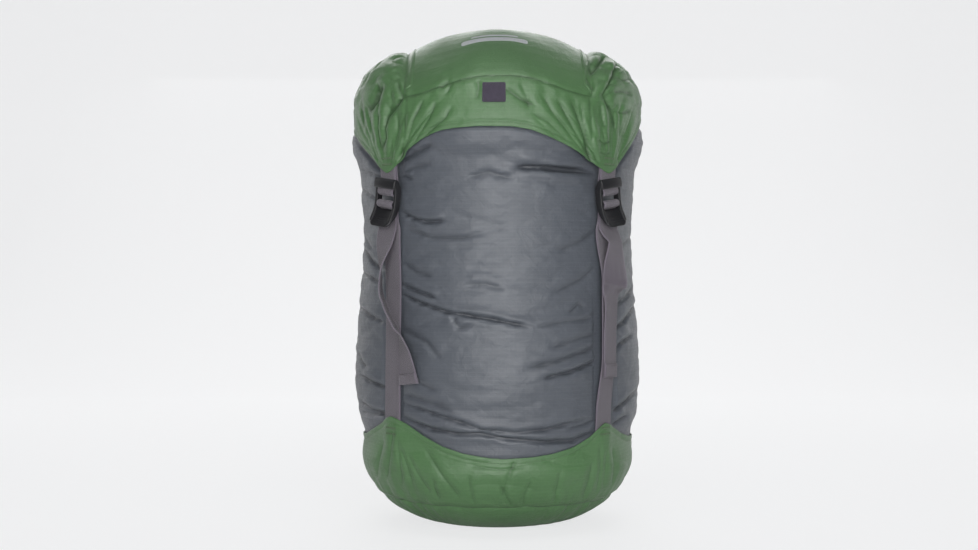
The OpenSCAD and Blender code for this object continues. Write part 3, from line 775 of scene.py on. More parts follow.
BASE_FOLDS = [
    (1.6, 1.8, -95.0, 76.5, -97.7, 54.9, -100.4, 31.5),
    (1.6, 1.6, -90.5, 69.3, -88.7, 49.5, -86.0, 27.9),
    (1.8, 1.8, -86.9, 60.3, -81.5, 44.1, -77.0, 27.9),
    (1.6, 1.8, -80.5, 54.9, -71.5, 36.9, -60.8, 20.7),
    (2.0, 1.6, -59.0, 33.3, -57.1, 24.3, -53.6, 16.2),
    (1.6, 2.2, -65.2, 60.3, -51.8, 38.7, -33.8, 15.3),
    (1.4, 1.8, -103.0, 69.3, -107.5, 49.5, -109.4, 31.5),
    (1.6, 1.8, 92.2, 63.9, 92.2, 44.1, 88.7, 22.5),
    (1.6, 1.8, 97.7, 58.5, 96.8, 40.5, 94.0, 24.3),
    (1.6, 1.8, 85.0, 47.7, 81.5, 31.5, 76.0, 15.3),
    (1.4, 1.8, 103.0, 62.1, 104.9, 45.9, 103.0, 27.9),
    (1.6, 2.0, 16.7, 54.9, 9.5, 36.9, 2.2, 15.3),
    (1.6, 1.8, 2.2, 27.9, 7.7, 17.1, 13.1, 8.1),
    (1.5, 1.8, 29.2, 31.5, 23.9, 18.9, 22.1, 8.1),
    (1.4, 2.0, 56.2, 40.5, 52.6, 24.3, 50.9, 9.9),
    (1.4, 1.8, -26.6, 36.9, -24.8, 22.5, -21.2, 9.9),
    (1.2, 2.4, -24.8, 45.9, 2.2, 42.3, 29.2, 45.9),
]
EYE_Y, EYE_Z = 1250.0, 225.0


def press(P, N, lines, behind=False, share=1.0):
    """Height in millimetres of sharp folds seen from the front; behind=True lays the same folds on the far side."""
    s = -1.0 if behind else 1.0
    x, y = P[..., 0] * s, P[..., 1] * s
    f = EYE_Y / (EYE_Y + y)
    X, Z = x * f, EYE_Z + (P[..., 2] - EYE_Z) * f
    facing = step(-0.02, 0.22, -N[..., 1] * s)
    h = np.zeros(X.shape)
    live = np.nonzero(facing > 0)
    X, Z = X[live], Z[live]
    total = np.zeros(X.shape)
    for line in lines:
        depth, width = line[:2]
        pts = np.asarray(line[2:], float).reshape(-1, 2)
        box = (X > pts[:, 0].min() - 14) & (X < pts[:, 0].max() + 14) & (Z > pts[:, 1].min() - 14) & (Z < pts[:, 1].max() + 14)
        idx = np.nonzero(box)[0]
        if not len(idx):
            continue
        px, pz = X[idx], Z[idx]
        best = np.full(px.shape, 1e9)
        side = np.zeros(px.shape)
        along = np.zeros(px.shape)
        start = 0.0
        for a, b in zip(pts[:-1], pts[1:]):
            d = b - a
            L = np.linalg.norm(d)
            t = np.clip(((px - a[0]) * d[0] + (pz - a[1]) * d[1]) / L ** 2, 0, 1)
            qx, qz = px - a[0] - d[0] * t, pz - a[1] - d[1] * t
            dist = np.hypot(qx, qz)
            near = dist < best
            best = np.where(near, dist, best)
            side = np.where(near, np.sign(qz * d[0] - qx * d[1]) * dist, side)
            along = np.where(near, start + t * L, along)
            start += L
        u = along / start
        env = step(0.0, 0.22, u + 0.10) * (1 - step(0.80, 1.0, u - 0.02))
        valley = np.exp(-(best / (0.85 * width)) ** 1.1)
        lip = np.exp(-((side - 2.6 * width) / (2.6 * width)) ** 2) + 0.4 * np.exp(-((side + 3.2 * width) / (3.0 * width)) ** 2)
        total[idx] += depth * env * (0.30 * lip - valley)
    h[live] = total
    return h * facing * share


def regrid(P, rows, cols, closed=True):
    """The same surface on another number of rows and columns, by cubic interpolation."""
    def line(A, pos, wrap_round):
        i = np.floor(pos).astype(int)
        f = (pos - i).reshape((-1,) + (1,) * (A.ndim - 1))
        n = len(A)
        pick = (lambda k: A[(i + k) % n]) if wrap_round else (lambda k: A[np.clip(i + k, 0, n - 1)])
        p0, p1, p2, p3 = pick(-1), pick(0), pick(1), pick(2)
        return 0.5 * (2 * p1 + (p2 - p0) * f + (2 * p0 - 5 * p1 + 4 * p2 - p3) * f ** 2 + (3 * p1 - p0 - 3 * p2 + p3) * f ** 3)
    R = line(P, np.linspace(0, P.shape[0] - 1, rows), False)
    C = np.swapaxes(R, 0, 1)
    pos = np.arange(cols) * P.shape[1] / cols if closed else np.linspace(0, P.shape[1] - 1, cols)
    return np.swapaxes(line(C, pos, closed), 0, 1)


def grid_normals(P):
    """Outward normals of a closed grid."""
    du = np.roll(P, -1, 1) - np.roll(P, 1, 1)
    dv = np.gradient(P, axis=0)
    n = np.cross(du, dv)
    n /= np.linalg.norm(n, axis=-1)[..., None] + 1e-9
    return n


def simulate(name, start, rest, pin, core, frames=30, pressure=0.6, bending=0.05, tension=80.0, mass=0.05, quality=5):
    """Lets a closed grid of cloth settle over a padded core. start, rest and core are rows x cols x 3 in millimetres and pin is
    0 or 1. The rest shape is larger than the start, so the spare cloth has to fold. It runs at ten times size."""
    scale = 0.01
    rows, cols = start.shape[:2]
    scene = bpy.context.scene

    def sheet(n, P):
        mesh = bpy.data.meshes.new(n)
        mesh.from_pydata((P.reshape(-1, 3) * scale).tolist(), [], grid_faces(P.shape[0], P.shape[1], True).tolist())
        o = bpy.data.objects.new(n, mesh)
        scene.collection.objects.link(o)
        return o

    obj = sheet(name, start)
    obj.shape_key_add(name="Basis")
    key = obj.shape_key_add(name="rest")
    key.data.foreach_set("co", (rest.reshape(-1) * scale).astype(np.float32))
    key.value = 0.0
    held = obj.vertex_groups.new(name="held")
    held.add(np.nonzero(pin.reshape(-1) > 0.5)[0].tolist(), 1.0, "REPLACE")
    filling = sheet(name + "_filling", core)
    filling.modifiers.new("collision", "COLLISION")
    filling.collision.thickness_outer = 0.002
    filling.collision.damping = 0.8
    mod = obj.modifiers.new("cloth", "CLOTH")
    s = mod.settings
    s.quality, s.mass, s.air_damping = quality, mass, 1.0
    s.tension_stiffness = s.compression_stiffness = tension
    s.shear_stiffness, s.bending_stiffness = tension * 0.4, bending
    s.tension_damping = s.compression_damping = s.shear_damping = s.bending_damping = 0.5
    s.vertex_group_mass, s.pin_stiffness, s.rest_shape_key = "held", 1.0, key
    s.use_pressure, s.uniform_pressure_force = True, pressure
    s.effector_weights.gravity = 0.0
    mod.collision_settings.use_collision = True
    mod.collision_settings.use_self_collision = False
    mod.collision_settings.distance_min = 0.003
    mod.collision_settings.collision_quality = 2
    scene.frame_start, scene.frame_end = 1, frames
    mod.point_cache.frame_start, mod.point_cache.frame_end = 1, frames
    for f in range(1, frames + 1):
        scene.frame_set(f)
    ev = obj.evaluated_get(bpy.context.evaluated_depsgraph_get())
    out = np.empty(rows * cols * 3, np.float32)
    ev.data.vertices.foreach_get("co", out)
    for o in (obj, filling):
        bpy.data.objects.remove(o)
    scene.frame_set(1)
    return out.reshape(rows, cols, 3).astype(float) / scale


COLS = 600


class Radii:
    """Looks up the radius of a closed wall of cloth by turn and height."""

    def __init__(self, P, grow):
        self.z = np.arange(0, 440, 1.0)
        self.table = np.zeros((P.shape[1], len(self.z)))
        r = np.hypot(P[..., 0], P[..., 1])
        for c in range(P.shape[1]):
            order = np.argsort(P[:, c, 2])
            zz, rr = P[order, c, 2], r[order, c]
            v = np.interp(self.z, zz, rr)
            v = v + np.where(self.z < zz[0], (zz[0] - self.z) * grow[0], 0) + np.where(self.z > zz[-1], (self.z - zz[-1]) * grow[1], 0)
            self.table[c] = v
        k = self.table
        self.table = np.minimum.reduce([k, np.roll(k, 1, 0), np.roll(k, -1, 0), np.roll(k, 2, 0), np.roll(k, -2, 0)])

    def at(self, theta, z):
        c = np.round((wrap(theta) + np.pi) / (2 * np.pi) * len(self.table)).astype(int) % len(self.table)
        zi = np.clip(z, 0, 438)
        i = np.floor(zi).astype(int)
        f = zi - i
        return self.table[c, i] * (1 - f) + self.table[c, i + 1] * f


# ---------------------------------------------------------------- base cloth
EDGE_D = [0, 6, 15, 31, 51, 69, 94]
BASE_FRONT_LEFT = [99.5, 98.0, 94.5, 86.4, 77.5, 72.7, 69.2]
BASE_FRONT_RIGHT = [93.5, 90.0, 83.0, 76.0, 71.8, 69.8, 68.7]
BASE_SIDE_LEFT = [99.5, 97.5, 92.5, 86.5, 80.5, 78.4, 77.2]
BASE_SIDE_RIGHT = [93.5, 92.0, 88.0, 82.0, 77.5, 76.0, 75.4]


def base_edge(theta):
    """Height of the base skirt's upper edge, which comes to a point under each strap."""
    near, t, front = to_strap(theta)
    d = np.sqrt((np.abs(near) * 122.0) ** 2 + 2.0) - 1.4
    right = np.sin(theta) > 0
    fl, fr = np.interp(d, EDGE_D, BASE_FRONT_LEFT), np.interp(d, EDGE_D, BASE_FRONT_RIGHT)
    sl, sr = np.interp(d, EDGE_D, BASE_SIDE_LEFT), np.interp(d, EDGE_D, BASE_SIDE_RIGHT)
    z = np.where(front, np.where(right, fr, fl), np.where(right, sr, sl))
    return z + 0.5 * noise(ring(theta, 13), 0.3, 77, 13)


def base_profile(a):
    """The rounded base as radius and height; a runs from 0 at the foot to 1 where the side is upright."""
    foot, curve = 42.0, 66.0
    ang = np.clip(a, 0, 1) * np.pi / 2
    return foot + (BASE_R - 1.2 - foot) * np.sin(ang), curve * (1 - np.cos(ang))


def base_wrinkle(T, R, Z, seam_z):
    d = Z - seam_z
    near, t, front = to_strap(T)
    under = np.exp(-(np.abs(near) * 122 / 38.0) ** 2)
    pleat = noise(ring(T, 66), Z / 70.0, 31, 66) + 0.5 * noise(ring(T, 120), Z / 50.0, 32, 120)
    env = np.exp(-(np.abs(d) / (12.0 + 12.0 * under)) ** 1.2) * step(40, 80, R) * (0.45 + 0.75 * under)
    fold = np.abs(noise(ring(T, 10), Z / 24.0, 33, 10)) ** 0.6
    soft = noise(ring(T, 20), Z / 18.0, 34, 20)
    return pleat * 1.9 * env + (1.7 * fold - 1.0 + 0.5 * soft) * step(0, 34, Z) * (1 - step(78, 95, Z)) * 0.9


def build_base():
    theta = np.linspace(-np.pi, np.pi, COLS, endpoint=False)
    seam_a = math.acos(1 - SEAM_BASE / 66.0) / (math.pi / 2)
    # panel: a flat foot, then the curve up to the seam
    curve_r, curve_z = base_profile(np.linspace(0, seam_a, 40))
    rr = np.concatenate([np.linspace(1.5, 42, 16, endpoint=False), curve_r])
    zz = np.concatenate([np.full(16, 0.0), curve_z])
    T, R0 = np.meshgrid(theta, rr)
    Z0 = np.repeat(zz[:, None], COLS, 1)
    seam_wave = 1.5 * noise(ring(theta, 7), 0.7, 41, 7) + 0.7 * noise(ring(theta, 29), 0.2, 42, 29)
    share = step(0.45, 1.0, R0 / rr[-1])
    Z = Z0 + seam_wave[None] * share
    w = base_wrinkle(T, R0, Z, SEAM_BASE + seam_wave[None])
    tuck = -1.5 * np.exp(-((rr[-1] - R0) / 2.2) ** 2)
    nx, nz = 0.55, -0.83
    P = np.stack([(R0 + (w + tuck) * nx) * np.sin(T), -(R0 + (w + tuck) * nx) * np.cos(T), np.maximum(Z + (w + tuck) * nz * step(42, 60, R0), 0.0)], -1)
    uvp = np.stack([R0 * np.sin(T) + 200, R0 * np.cos(T) + 200], -1)
    panel = grid_object("base_panel_cloth", P, closed=True, uv=uvp, flip=True)
    bm = bmesh.new()
    bm.from_mesh(panel.data)
    bm.verts.ensure_lookup_table()
    bm.faces.new([bm.verts[i] for i in range(COLS)][::-1])
    bm.to_mesh(panel.data)
    bm.free()
    fix_normals(panel)
    # skirt
    rows = 72
    edge = base_edge(theta)
    low = SEAM_BASE + seam_wave
    k = np.linspace(0, 1, rows)[:, None]
    Zs = low[None] + (edge - low)[None] * k
    a = np.arccos(np.clip(1 - np.clip(Zs - seam_wave[None] * (1 - k), 0, 66) / 66.0, 0, 1)) / (np.pi / 2)
    Rs = base_profile(a)[0]
    Ts = np.repeat(theta[None], rows, 0)
    near, t, front = to_strap(Ts)
    w = base_wrinkle(Ts, Rs, Zs, low[None])
    tuck = -1.5 * np.exp(-((Zs - low[None]) / 2.2) ** 2)
    tip = 1.0 * np.exp(-(np.abs(near) * 122 / 12.0) ** 4) * step(60, 80, Zs)
    snug = -2.2 * (1 - np.exp(-(np.abs(near) * 122 / 16.0) ** 2)) * step(50, 71, Zs)
    hem = -0.5 * np.exp(-((edge[None] - Zs - 4.5) / 1.2) ** 2)
    Rs = Rs + w * step(0, 0.05, k) + tuck + tip + snug + hem
    P2 = np.stack([Rs * np.sin(Ts), -Rs * np.cos(Ts), Zs], -1)
    N2 = grid_normals(P2)
    sharp = (press(P2, N2, BASE_FOLDS) + press(P2, N2, BASE_FOLDS, True, 0.8)) * (step(0, 0.08, k) * (1 - 0.6 * step(0.9, 1.0, k)))
    P2 = P2 + N2 * sharp[..., None]
    uv2 = np.stack([(Ts + np.pi) * 122.0, Zs], -1)
    skirt = grid_object("base_skirt_cloth", P2, closed=True, uv=uv2, closed_uv_width=2 * np.pi * 122.0)
    # painted shade for the fold valleys and along the seam tuck, kept as the fold attribute
    mark_fold_shade(skirt, np.maximum((-sharp - 0.4) / 2.2, 0.75 * np.exp(-((Zs - low[None]) / 1.1) ** 2)))
    return panel, skirt, P2, P


base_panel, base_skirt, BASE_P, BASE_Q = build_base()
base_tree = bvh_of(base_skirt)


def rows_on_grid(P, row_share):
    """A closed line along a grid at a share of its rows, with outward normals."""
    rows = P.shape[0] - 1
    f = row_share * rows
    i = int(min(math.floor(f), rows - 1))
    line = P[i] + (P[i + 1] - P[i]) * (f - i)
    up = P[i + 1] - P[i]
    along = np.roll(line, -1, 0) - np.roll(line, 1, 0)
    n = np.cross(along, up)
    n /= np.linalg.norm(n, axis=1)[:, None] + 1e-9
    return line, n


def stitch_line(name, P, share, body_name, key="thread_green", slot="thread", **kw):
    line, n = rows_on_grid(P, share)
    line = np.vstack([line, line[:1]])
    n = np.vstack([n, n[:1]])
    o = stitches(name, line, n, **kw)
    give(o, key)
    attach(o, body_name)
    return o


for name, obj, node in (("panel", base_panel, "base_panel"), ("skirt", base_skirt, "base_skirt")):
    solidify(obj, 0.9, -1.0)
    give(obj, "cap_fabric")
    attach(obj, "base")
    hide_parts(node)
stitch_line("base_skirt_hem_stitches", BASE_P, 1 - 4.5 / 50.0, "base", length=1.9, gap=1.0, r=0.2, proud=0.0)
stitch_line("base_seam_stitches", BASE_P, 0.07, "base", length=1.9, gap=1.0, r=0.2, proud=0.0)


# ---------------------------------------------------------------- cap cloth
STRIP_HALF = 76.5
PROFILE = np.array([[0, 0], [0.08, 0.003], [0.16, 0.014], [0.24, 0.034], [0.32, 0.066], [0.4, 0.11], [0.48, 0.168], [0.56, 0.243], [0.64, 0.335],
                    [0.72, 0.44], [0.8, 0.56], [0.87, 0.68], [0.93, 0.80], [0.97, 0.90], [0.99, 0.96], [1, 1]])
PROFILE_S = np.concatenate([[0], np.cumsum(np.linalg.norm(np.diff(PROFILE * [128, 62], axis=0), axis=1))])
PROFILE_S /= PROFILE_S[-1]


def away(theta):
    """Turn from the nearer of front and back, in degrees."""
    d = np.degrees(np.abs(wrap(np.asarray(theta, float))))
    return np.minimum(d, 180 - d)


def cap_seam(theta):
    """Height of the seam between the cap's top and its skirt."""
    return SEAM_TOP - 8.0 + 14.5 * (1 - step(4, 38, away(theta))) + 0.6 * noise(ring(theta, 11), 0.4, 51, 11)


def cap_radius(theta, z):
    near, t, front = to_strap(theta)
    r = SEAM_R - 0.3 + 0.4 * np.sin(np.pi * t)
    r = r - 1.9 * np.where(front, 1.0, 0.0) * np.sin(np.pi / 2 * t) ** 2 * step(340, 385, z)
    tip = np.exp(-(np.abs(near) * 125 / 26.0) ** 2)
    low = 1 - step(TIP_CAP, TIP_CAP + 46, z)
    return r - tip * low * 1.2 - (1 - tip) * low * 2.6


# height of the skirt's lower edge above its points, by distance from a point
CAP_FRONT_LEFT = ([0, 6, 12.4, 21.3, 31.6, 43, 54.6, 67.6, 84, 98], [-0.8, 2.5, 7.5, 16.5, 23.3, 29.2, 32.7, 34.2, 35.0, 34.6])
CAP_FRONT_RIGHT = ([0, 6, 12.9, 20.7, 31, 45, 57.8, 74.6, 90, 98], [-0.8, 1.8, 5.0, 9.0, 14.5, 21.2, 26.5, 32.2, 34.5, 34.6])
CAP_SIDE_LEFT = ([0, 6, 12.4, 25, 36, 52, 68, 82, 94], [-0.8, 2.8, 7.5, 15.6, 22.8, 31, 37.2, 40.6, 41.4])
CAP_SIDE_RIGHT = ([0, 9, 18.5, 35, 50, 64, 80, 94], [-0.8, 4.8, 13.7, 27.5, 38.0, 46.0, 51.6, 53.0])


def cap_edge(theta):
    """Height of the skirt's scalloped lower edge."""
    near, t, front = to_strap(theta)
    d = np.sqrt((np.abs(near) * 125.0) ** 2 + 2.0) - 1.4
    right = np.sin(theta) > 0
    fl, fr, sl, sr = (np.interp(d, *k) for k in (CAP_FRONT_LEFT, CAP_FRONT_RIGHT, CAP_SIDE_LEFT, CAP_SIDE_RIGHT))
    far = np.cos(theta) < 0
    z = np.where(front, np.where(right & ~far, fr, fl), np.where(right, sr, sl))
    out = TIP_CAP + z + 0.5 * noise(ring(theta, 15), 0.9, 53, 15)
    if out.ndim == 1 and len(out) > 100:
        for _ in range(3):
            out = (np.roll(out, 1) + 2 * out + np.roll(out, -1)) / 4
    return out


def ear_puff(x, s):
    """How far the cap's sides stand out from the plain dome, in millimetres."""
    d = np.clip(np.abs(x) - STRIP_HALF - 1.5, 0, None)
    near_seam = 0.62 * (1 - np.exp(-d / 3.2)) + 0.38 * step(0.0, 17.0, d)
    rim = np.clip((1.0 - s) / 0.17, 0, 1) ** 0.7
    return 9.8 * near_seam * rim


def cap_wrinkle(T, s, x, y):
    """Wrinkles on the cap's top: gathers across the ears, smooth on the centre strip."""
    ear = step(-1, 9, np.abs(x) - STRIP_HALF)
    n1 = noise(ring(T, 26) + noise(ring(T, 9), s * 5, 61, 9) * 0.6, s * 7.0, 62, 26)
    n2 = noise(ring(T, 54), s * 9.0, 63, 54)
    gather = step(0.80, 1.0, s) * (1 - step(34, 40, away(T)))
    h_ear = (2.6 * np.abs(n1) ** 0.6 - 1.3) + 0.9 * n2
    h_strip = 0.45 * noise(x / 38.0, y / 30.0, 64) + 0.45 * noise(x / 15.0, y / 14.0, 65) * gather
    pleat = noise(ring(T, 76), s * 3.0, 66, 76) * 1.1 * step(0.88, 1.0, s) * (1 - step(34, 40, away(T)))
    return h_ear * ear + h_strip * (1 - ear) + pleat * 0.5


def skirt_wrinkle(T, Z, k):
    """Folds that fan out from each strap's tab up to the seam, and short gathers under the seam."""
    h = np.zeros_like(T)
    for i, th in enumerate(STRAP_TH):
        dx = wrap(T - th) * 125.0
        dz = Z - (TIP_CAP - 8)
        dist = np.hypot(dx, dz)
        ang = np.arctan2(dx, dz)
        fan = noise(ang * 4.2 + 3.1 * i, dist / 90.0, 71 + i)
        fan2 = noise(ang * 9.0 + 1.7 * i, dist / 60.0, 81 + i)
        env = step(8, 26, dist) * (1 - step(60, 100, dist))
        h += env * (3.4 * np.abs(fan) ** 0.6 - 1.7 + 1.0 * fan2)
    level = noise(ring(T, 13), Z / 17.0, 91, 13)
    gathers = noise(ring(T, 74), Z / 60.0, 92, 74) * (1 - step(0.0, 0.5, k)) * (1 - step(36, 42, away(T)))
    return h + 0.7 * level + 1.5 * gathers


TOP_ROWS, SKIRT_ROWS = 120, 76


def build_cap():
    theta = np.linspace(-np.pi, np.pi, COLS, endpoint=False)
    seam = cap_seam(theta)
    s = np.linspace(0.006, 1, TOP_ROWS)
    pr = np.interp(s, PROFILE_S, PROFILE[:, 0])
    pd = np.interp(s, PROFILE_S, PROFILE[:, 1])
    T, S = np.meshgrid(theta, s)
    rim = cap_radius(theta, seam)
    R = pr[:, None] * rim[None]
    Z = HEIGHT - pd[:, None] * (HEIGHT - seam[None])
    edge = cap_edge(theta)
    k = np.linspace(0, 1, SKIRT_ROWS)[1:, None]
    Zs = seam[None] + (edge - seam)[None] * k
    Ts = np.repeat(theta[None], len(k), 0)
    Rs = cap_radius(Ts, Zs)
    T, R, Z = np.concatenate([T, Ts]), np.concatenate([R, Rs]), np.concatenate([Z, Zs])
    S = np.concatenate([S, np.ones_like(Ts)])
    K = np.concatenate([np.zeros((TOP_ROWS, COLS)), np.repeat(k, COLS, 1)])
    P = np.stack([R * np.sin(T), -R * np.cos(T), Z], -1)
    N = -grid_normals(P)
    top = np.arange(len(P))[:, None] < TOP_ROWS
    plain = step(0.05, 0.2, S)
    h = np.where(top, ear_puff(P[..., 0], S), 0.0)
    h = h + np.where(top, cap_wrinkle(T, S, P[..., 0], P[..., 1]) * plain, 0.0)
    # the folds below the rim start from nothing at the seam, and fade at the hem
    fall = step(0, 0.14, K) * (1 - 0.55 * step(0.82, 1.0, K))
    h = h + np.where(top, 0.0, skirt_wrinkle(T, Z, K) * fall)
    closed_in = 1 - step(34, 40, away(T))
    d_seam = np.where(top, (1 - S) * 150, (seam[None] - Z))
    h = h - 1.5 * np.exp(-(d_seam / 2.0) ** 2) * closed_in
    h = h - np.where(top, 1.1 * np.exp(-((np.abs(P[..., 0]) - STRIP_HALF - 1.5) / 1.8) ** 2), 0.0) * step(0.3, 0.5, S)
    h = h - np.where(top, 0.0, 0.5 * np.exp(-((Z - edge[None] - 4.5) / 1.2) ** 2))
    P = P + N * h[..., None]
    for _ in range(2):
        rows = slice(TOP_ROWS - 6, TOP_ROWS + 8)
        soft = (1 - closed_in[rows])[..., None]
        mid = (P[TOP_ROWS - 7:TOP_ROWS + 7] + 2 * P[rows] + P[TOP_ROWS - 5:TOP_ROWS + 9]) / 4
        P[rows] = P[rows] * (1 - soft) + mid * soft
    N = -grid_normals(P)
    fade = step(0.3, 0.5, S)
    sharp = (press(P, N, CAP_FOLDS) + press(P, N, CAP_FOLDS, True, 0.8)) * fade
    P = P + N * sharp[..., None]
    # painted shade for the fold valleys and along the closed seam, kept as the fold attribute
    dark = np.maximum((-sharp - 0.3) / 1.9, 0.7 * np.exp(-(d_seam / 1.0) ** 2) * closed_in)
    r = np.hypot(P[..., 0], P[..., 1])
    near = np.abs(to_strap(T)[0]) * 125
    least = np.where(near < 12.5, LOCK_R + 0.9, 121.5)
    push = np.where(~top & (r < least), least / r, 1.0)
    P[..., :2] *= push[..., None]
    uv_top = np.stack([S * 150 * np.sin(T) + 300, S * 150 * np.cos(T) + 300], -1)
    uv_skirt = np.stack([(T + np.pi) * 125.0, Z], -1)
    return P, uv_top, uv_skirt, dark


CAP_P, UV_TOP, UV_SKIRT, CAP_FOLD_SHADE = build_cap()
SKIRT_P = CAP_P[TOP_ROWS - 1:]
cap_whole = grid_object("cap_work", CAP_P, closed=True, uv=UV_TOP, flip=True)
side_uv = grid_object("cap_uv", CAP_P, closed=True, uv=UV_SKIRT, flip=True, closed_uv_width=2 * np.pi * 125.0)
n_loops = len(cap_whole.data.loops)
ua, ub = np.zeros(n_loops * 2, np.float32), np.zeros(n_loops * 2, np.float32)
cap_whole.data.uv_layers["cloth"].data.foreach_get("uv", ua)
side_uv.data.uv_layers["cloth"].data.foreach_get("uv", ub)
first_skirt_loop = (TOP_ROWS - 1) * COLS * 4
ua[first_skirt_loop * 2:] = ub[first_skirt_loop * 2:]
cap_whole.data.uv_layers["cloth"].data.foreach_set("uv", ua)
bpy.data.objects.remove(side_uv)
bm = bmesh.new()
bm.from_mesh(cap_whole.data)
bm.verts.ensure_lookup_table()
bm.faces.new([bm.verts[i] for i in range(COLS)])
bm.to_mesh(cap_whole.data)
bm.free()
fix_normals(cap_whole)
cap_whole.data.polygons.foreach_set("use_smooth", [True] * len(cap_whole.data.polygons))
mark_fold_shade(cap_whole, CAP_FOLD_SHADE * 1.4)
cap_tree = skirt_tree = bvh_of(cap_whole)
solidify(cap_whole, 0.9, -1.0)


def split(obj, labels, names):
    """Cuts a mesh into panels by a label per face. The panels keep the whole mesh's normals, so a join stays smooth."""
    mesh = obj.data
    normals = np.zeros(len(mesh.vertices) * 3, np.float32)
    mesh.vertices.foreach_get("normal", normals)
    normals = normals.reshape(-1, 3)
    co = np.zeros(len(mesh.vertices) * 3, np.float32)
    mesh.vertices.foreach_get("co", co)
    co = co.reshape(-1, 3)
    # the painted fold shade goes over to each panel
    dark = np.zeros(len(mesh.vertices), np.float32)
    mesh.attributes["fold"].data.foreach_get("value", dark)
    uv = np.zeros(len(mesh.loops) * 2, np.float32)
    mesh.uv_layers["cloth"].data.foreach_get("uv", uv)
    uv = uv.reshape(-1, 2)
    loop_v = np.zeros(len(mesh.loops), np.int32)
    mesh.loops.foreach_get("vertex_index", loop_v)
    starts = np.zeros(len(mesh.polygons), np.int32)
    mesh.polygons.foreach_get("loop_start", starts)
    totals = np.zeros(len(mesh.polygons), np.int32)
    mesh.polygons.foreach_get("loop_total", totals)
    out = []
    for k, name in enumerate(names):
        polys = np.nonzero(labels == k)[0]
        loops = np.concatenate([np.arange(starts[i], starts[i] + totals[i]) for i in polys])
        used, remap = np.unique(loop_v[loops], return_inverse=True)
        ends = np.cumsum(totals[polys])
        faces = [remap[e - c:e].tolist() for e, c in zip(ends, totals[polys])]
        m = bpy.data.meshes.new(name)
        m.from_pydata(co[used].tolist(), [], faces)
        layer = m.uv_layers.new(name="cloth")
        layer.data.foreach_set("uv", uv[loops].ravel())
        m.polygons.foreach_set("use_smooth", [True] * len(m.polygons))
        m.update()
        m.attributes.new("fold", "FLOAT", "POINT").data.foreach_set("value", dark[used])
        m.normals_split_custom_set_from_vertices(normals[used].tolist())
        o = bpy.data.objects.new(name, m)
        bpy.context.scene.collection.objects.link(o)
        out.append(o)
    bpy.data.objects.remove(obj)
    return out


def panel_labels(mesh):
    c = np.zeros(len(mesh.polygons) * 3, np.float32)
    mesh.polygons.foreach_get("center", c)
    c = c.reshape(-1, 3) / MM
    th = np.arctan2(c[:, 0], -c[:, 1])
    seam, edge = cap_seam(th), TIP_CAP
    on_top = (c[:, 2] > seam + 0.1) | (np.hypot(c[:, 0], c[:, 1]) < 100)
    k = np.clip((seam - c[:, 2]) / (seam - edge), 0, 1)
    cut = 36.6 + (math.degrees(abs(STRAP_TH[1])) - 36.6) * k
    is_end = away(th) < cut
    lab = np.where(c[:, 0] < 0, 1, 2)
    lab = np.where(~on_top & is_end, np.where(c[:, 1] < 0, 3, 4), lab)
    lab = np.where(on_top & (np.abs(c[:, 0]) < STRIP_HALF), 0, lab)
    return lab


CAP_PANELS = ("cap_top_strip_cloth", "cap_side_left_cloth", "cap_side_right_cloth", "cap_front_skirt_cloth", "cap_rear_skirt_cloth")
CAP_NODES = ("cap_top_strip", "cap_gusset_left", "cap_gusset_right", "cap_skirt", None)
for obj, node in zip(split(cap_whole, panel_labels(cap_whole.data), CAP_PANELS), CAP_NODES):
    give(obj, "cap_fabric")
    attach(obj, "cap")
    if node:
        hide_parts(node)


def part_stitches(name, P, share, keep, body_name, **kw):
    """Stitches along part of a closed line: keep is a mask over the columns."""
    line, n = rows_on_grid(P, share)
    n = np.where(((line[:, :2] * n[:, :2]).sum(1) < 0)[:, None], -n, n)
    idx = np.nonzero(keep)[0]
    runs = np.split(idx, np.nonzero(np.diff(idx) > 1)[0] + 1)
    parts = [stitches("s", line[r], n[r], **kw) for r in runs if len(r) > 6]
    o = join(name, parts)
    give(o, "thread_green")
    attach(o, body_name)


ring_theta = np.linspace(-np.pi, np.pi, COLS, endpoint=False)
ends = away(ring_theta) < 36.0
part_stitches("cap_skirt_hem_stitches", SKIRT_P, 1 - 4.5 / 55.0, np.ones(COLS, bool), "cap", length=1.9, gap=1.0, r=0.2, proud=0.0)
part_stitches("cap_seam_stitches", SKIRT_P, 0.06, ends, "cap", length=1.9, gap=1.0, r=0.2, proud=0.0)


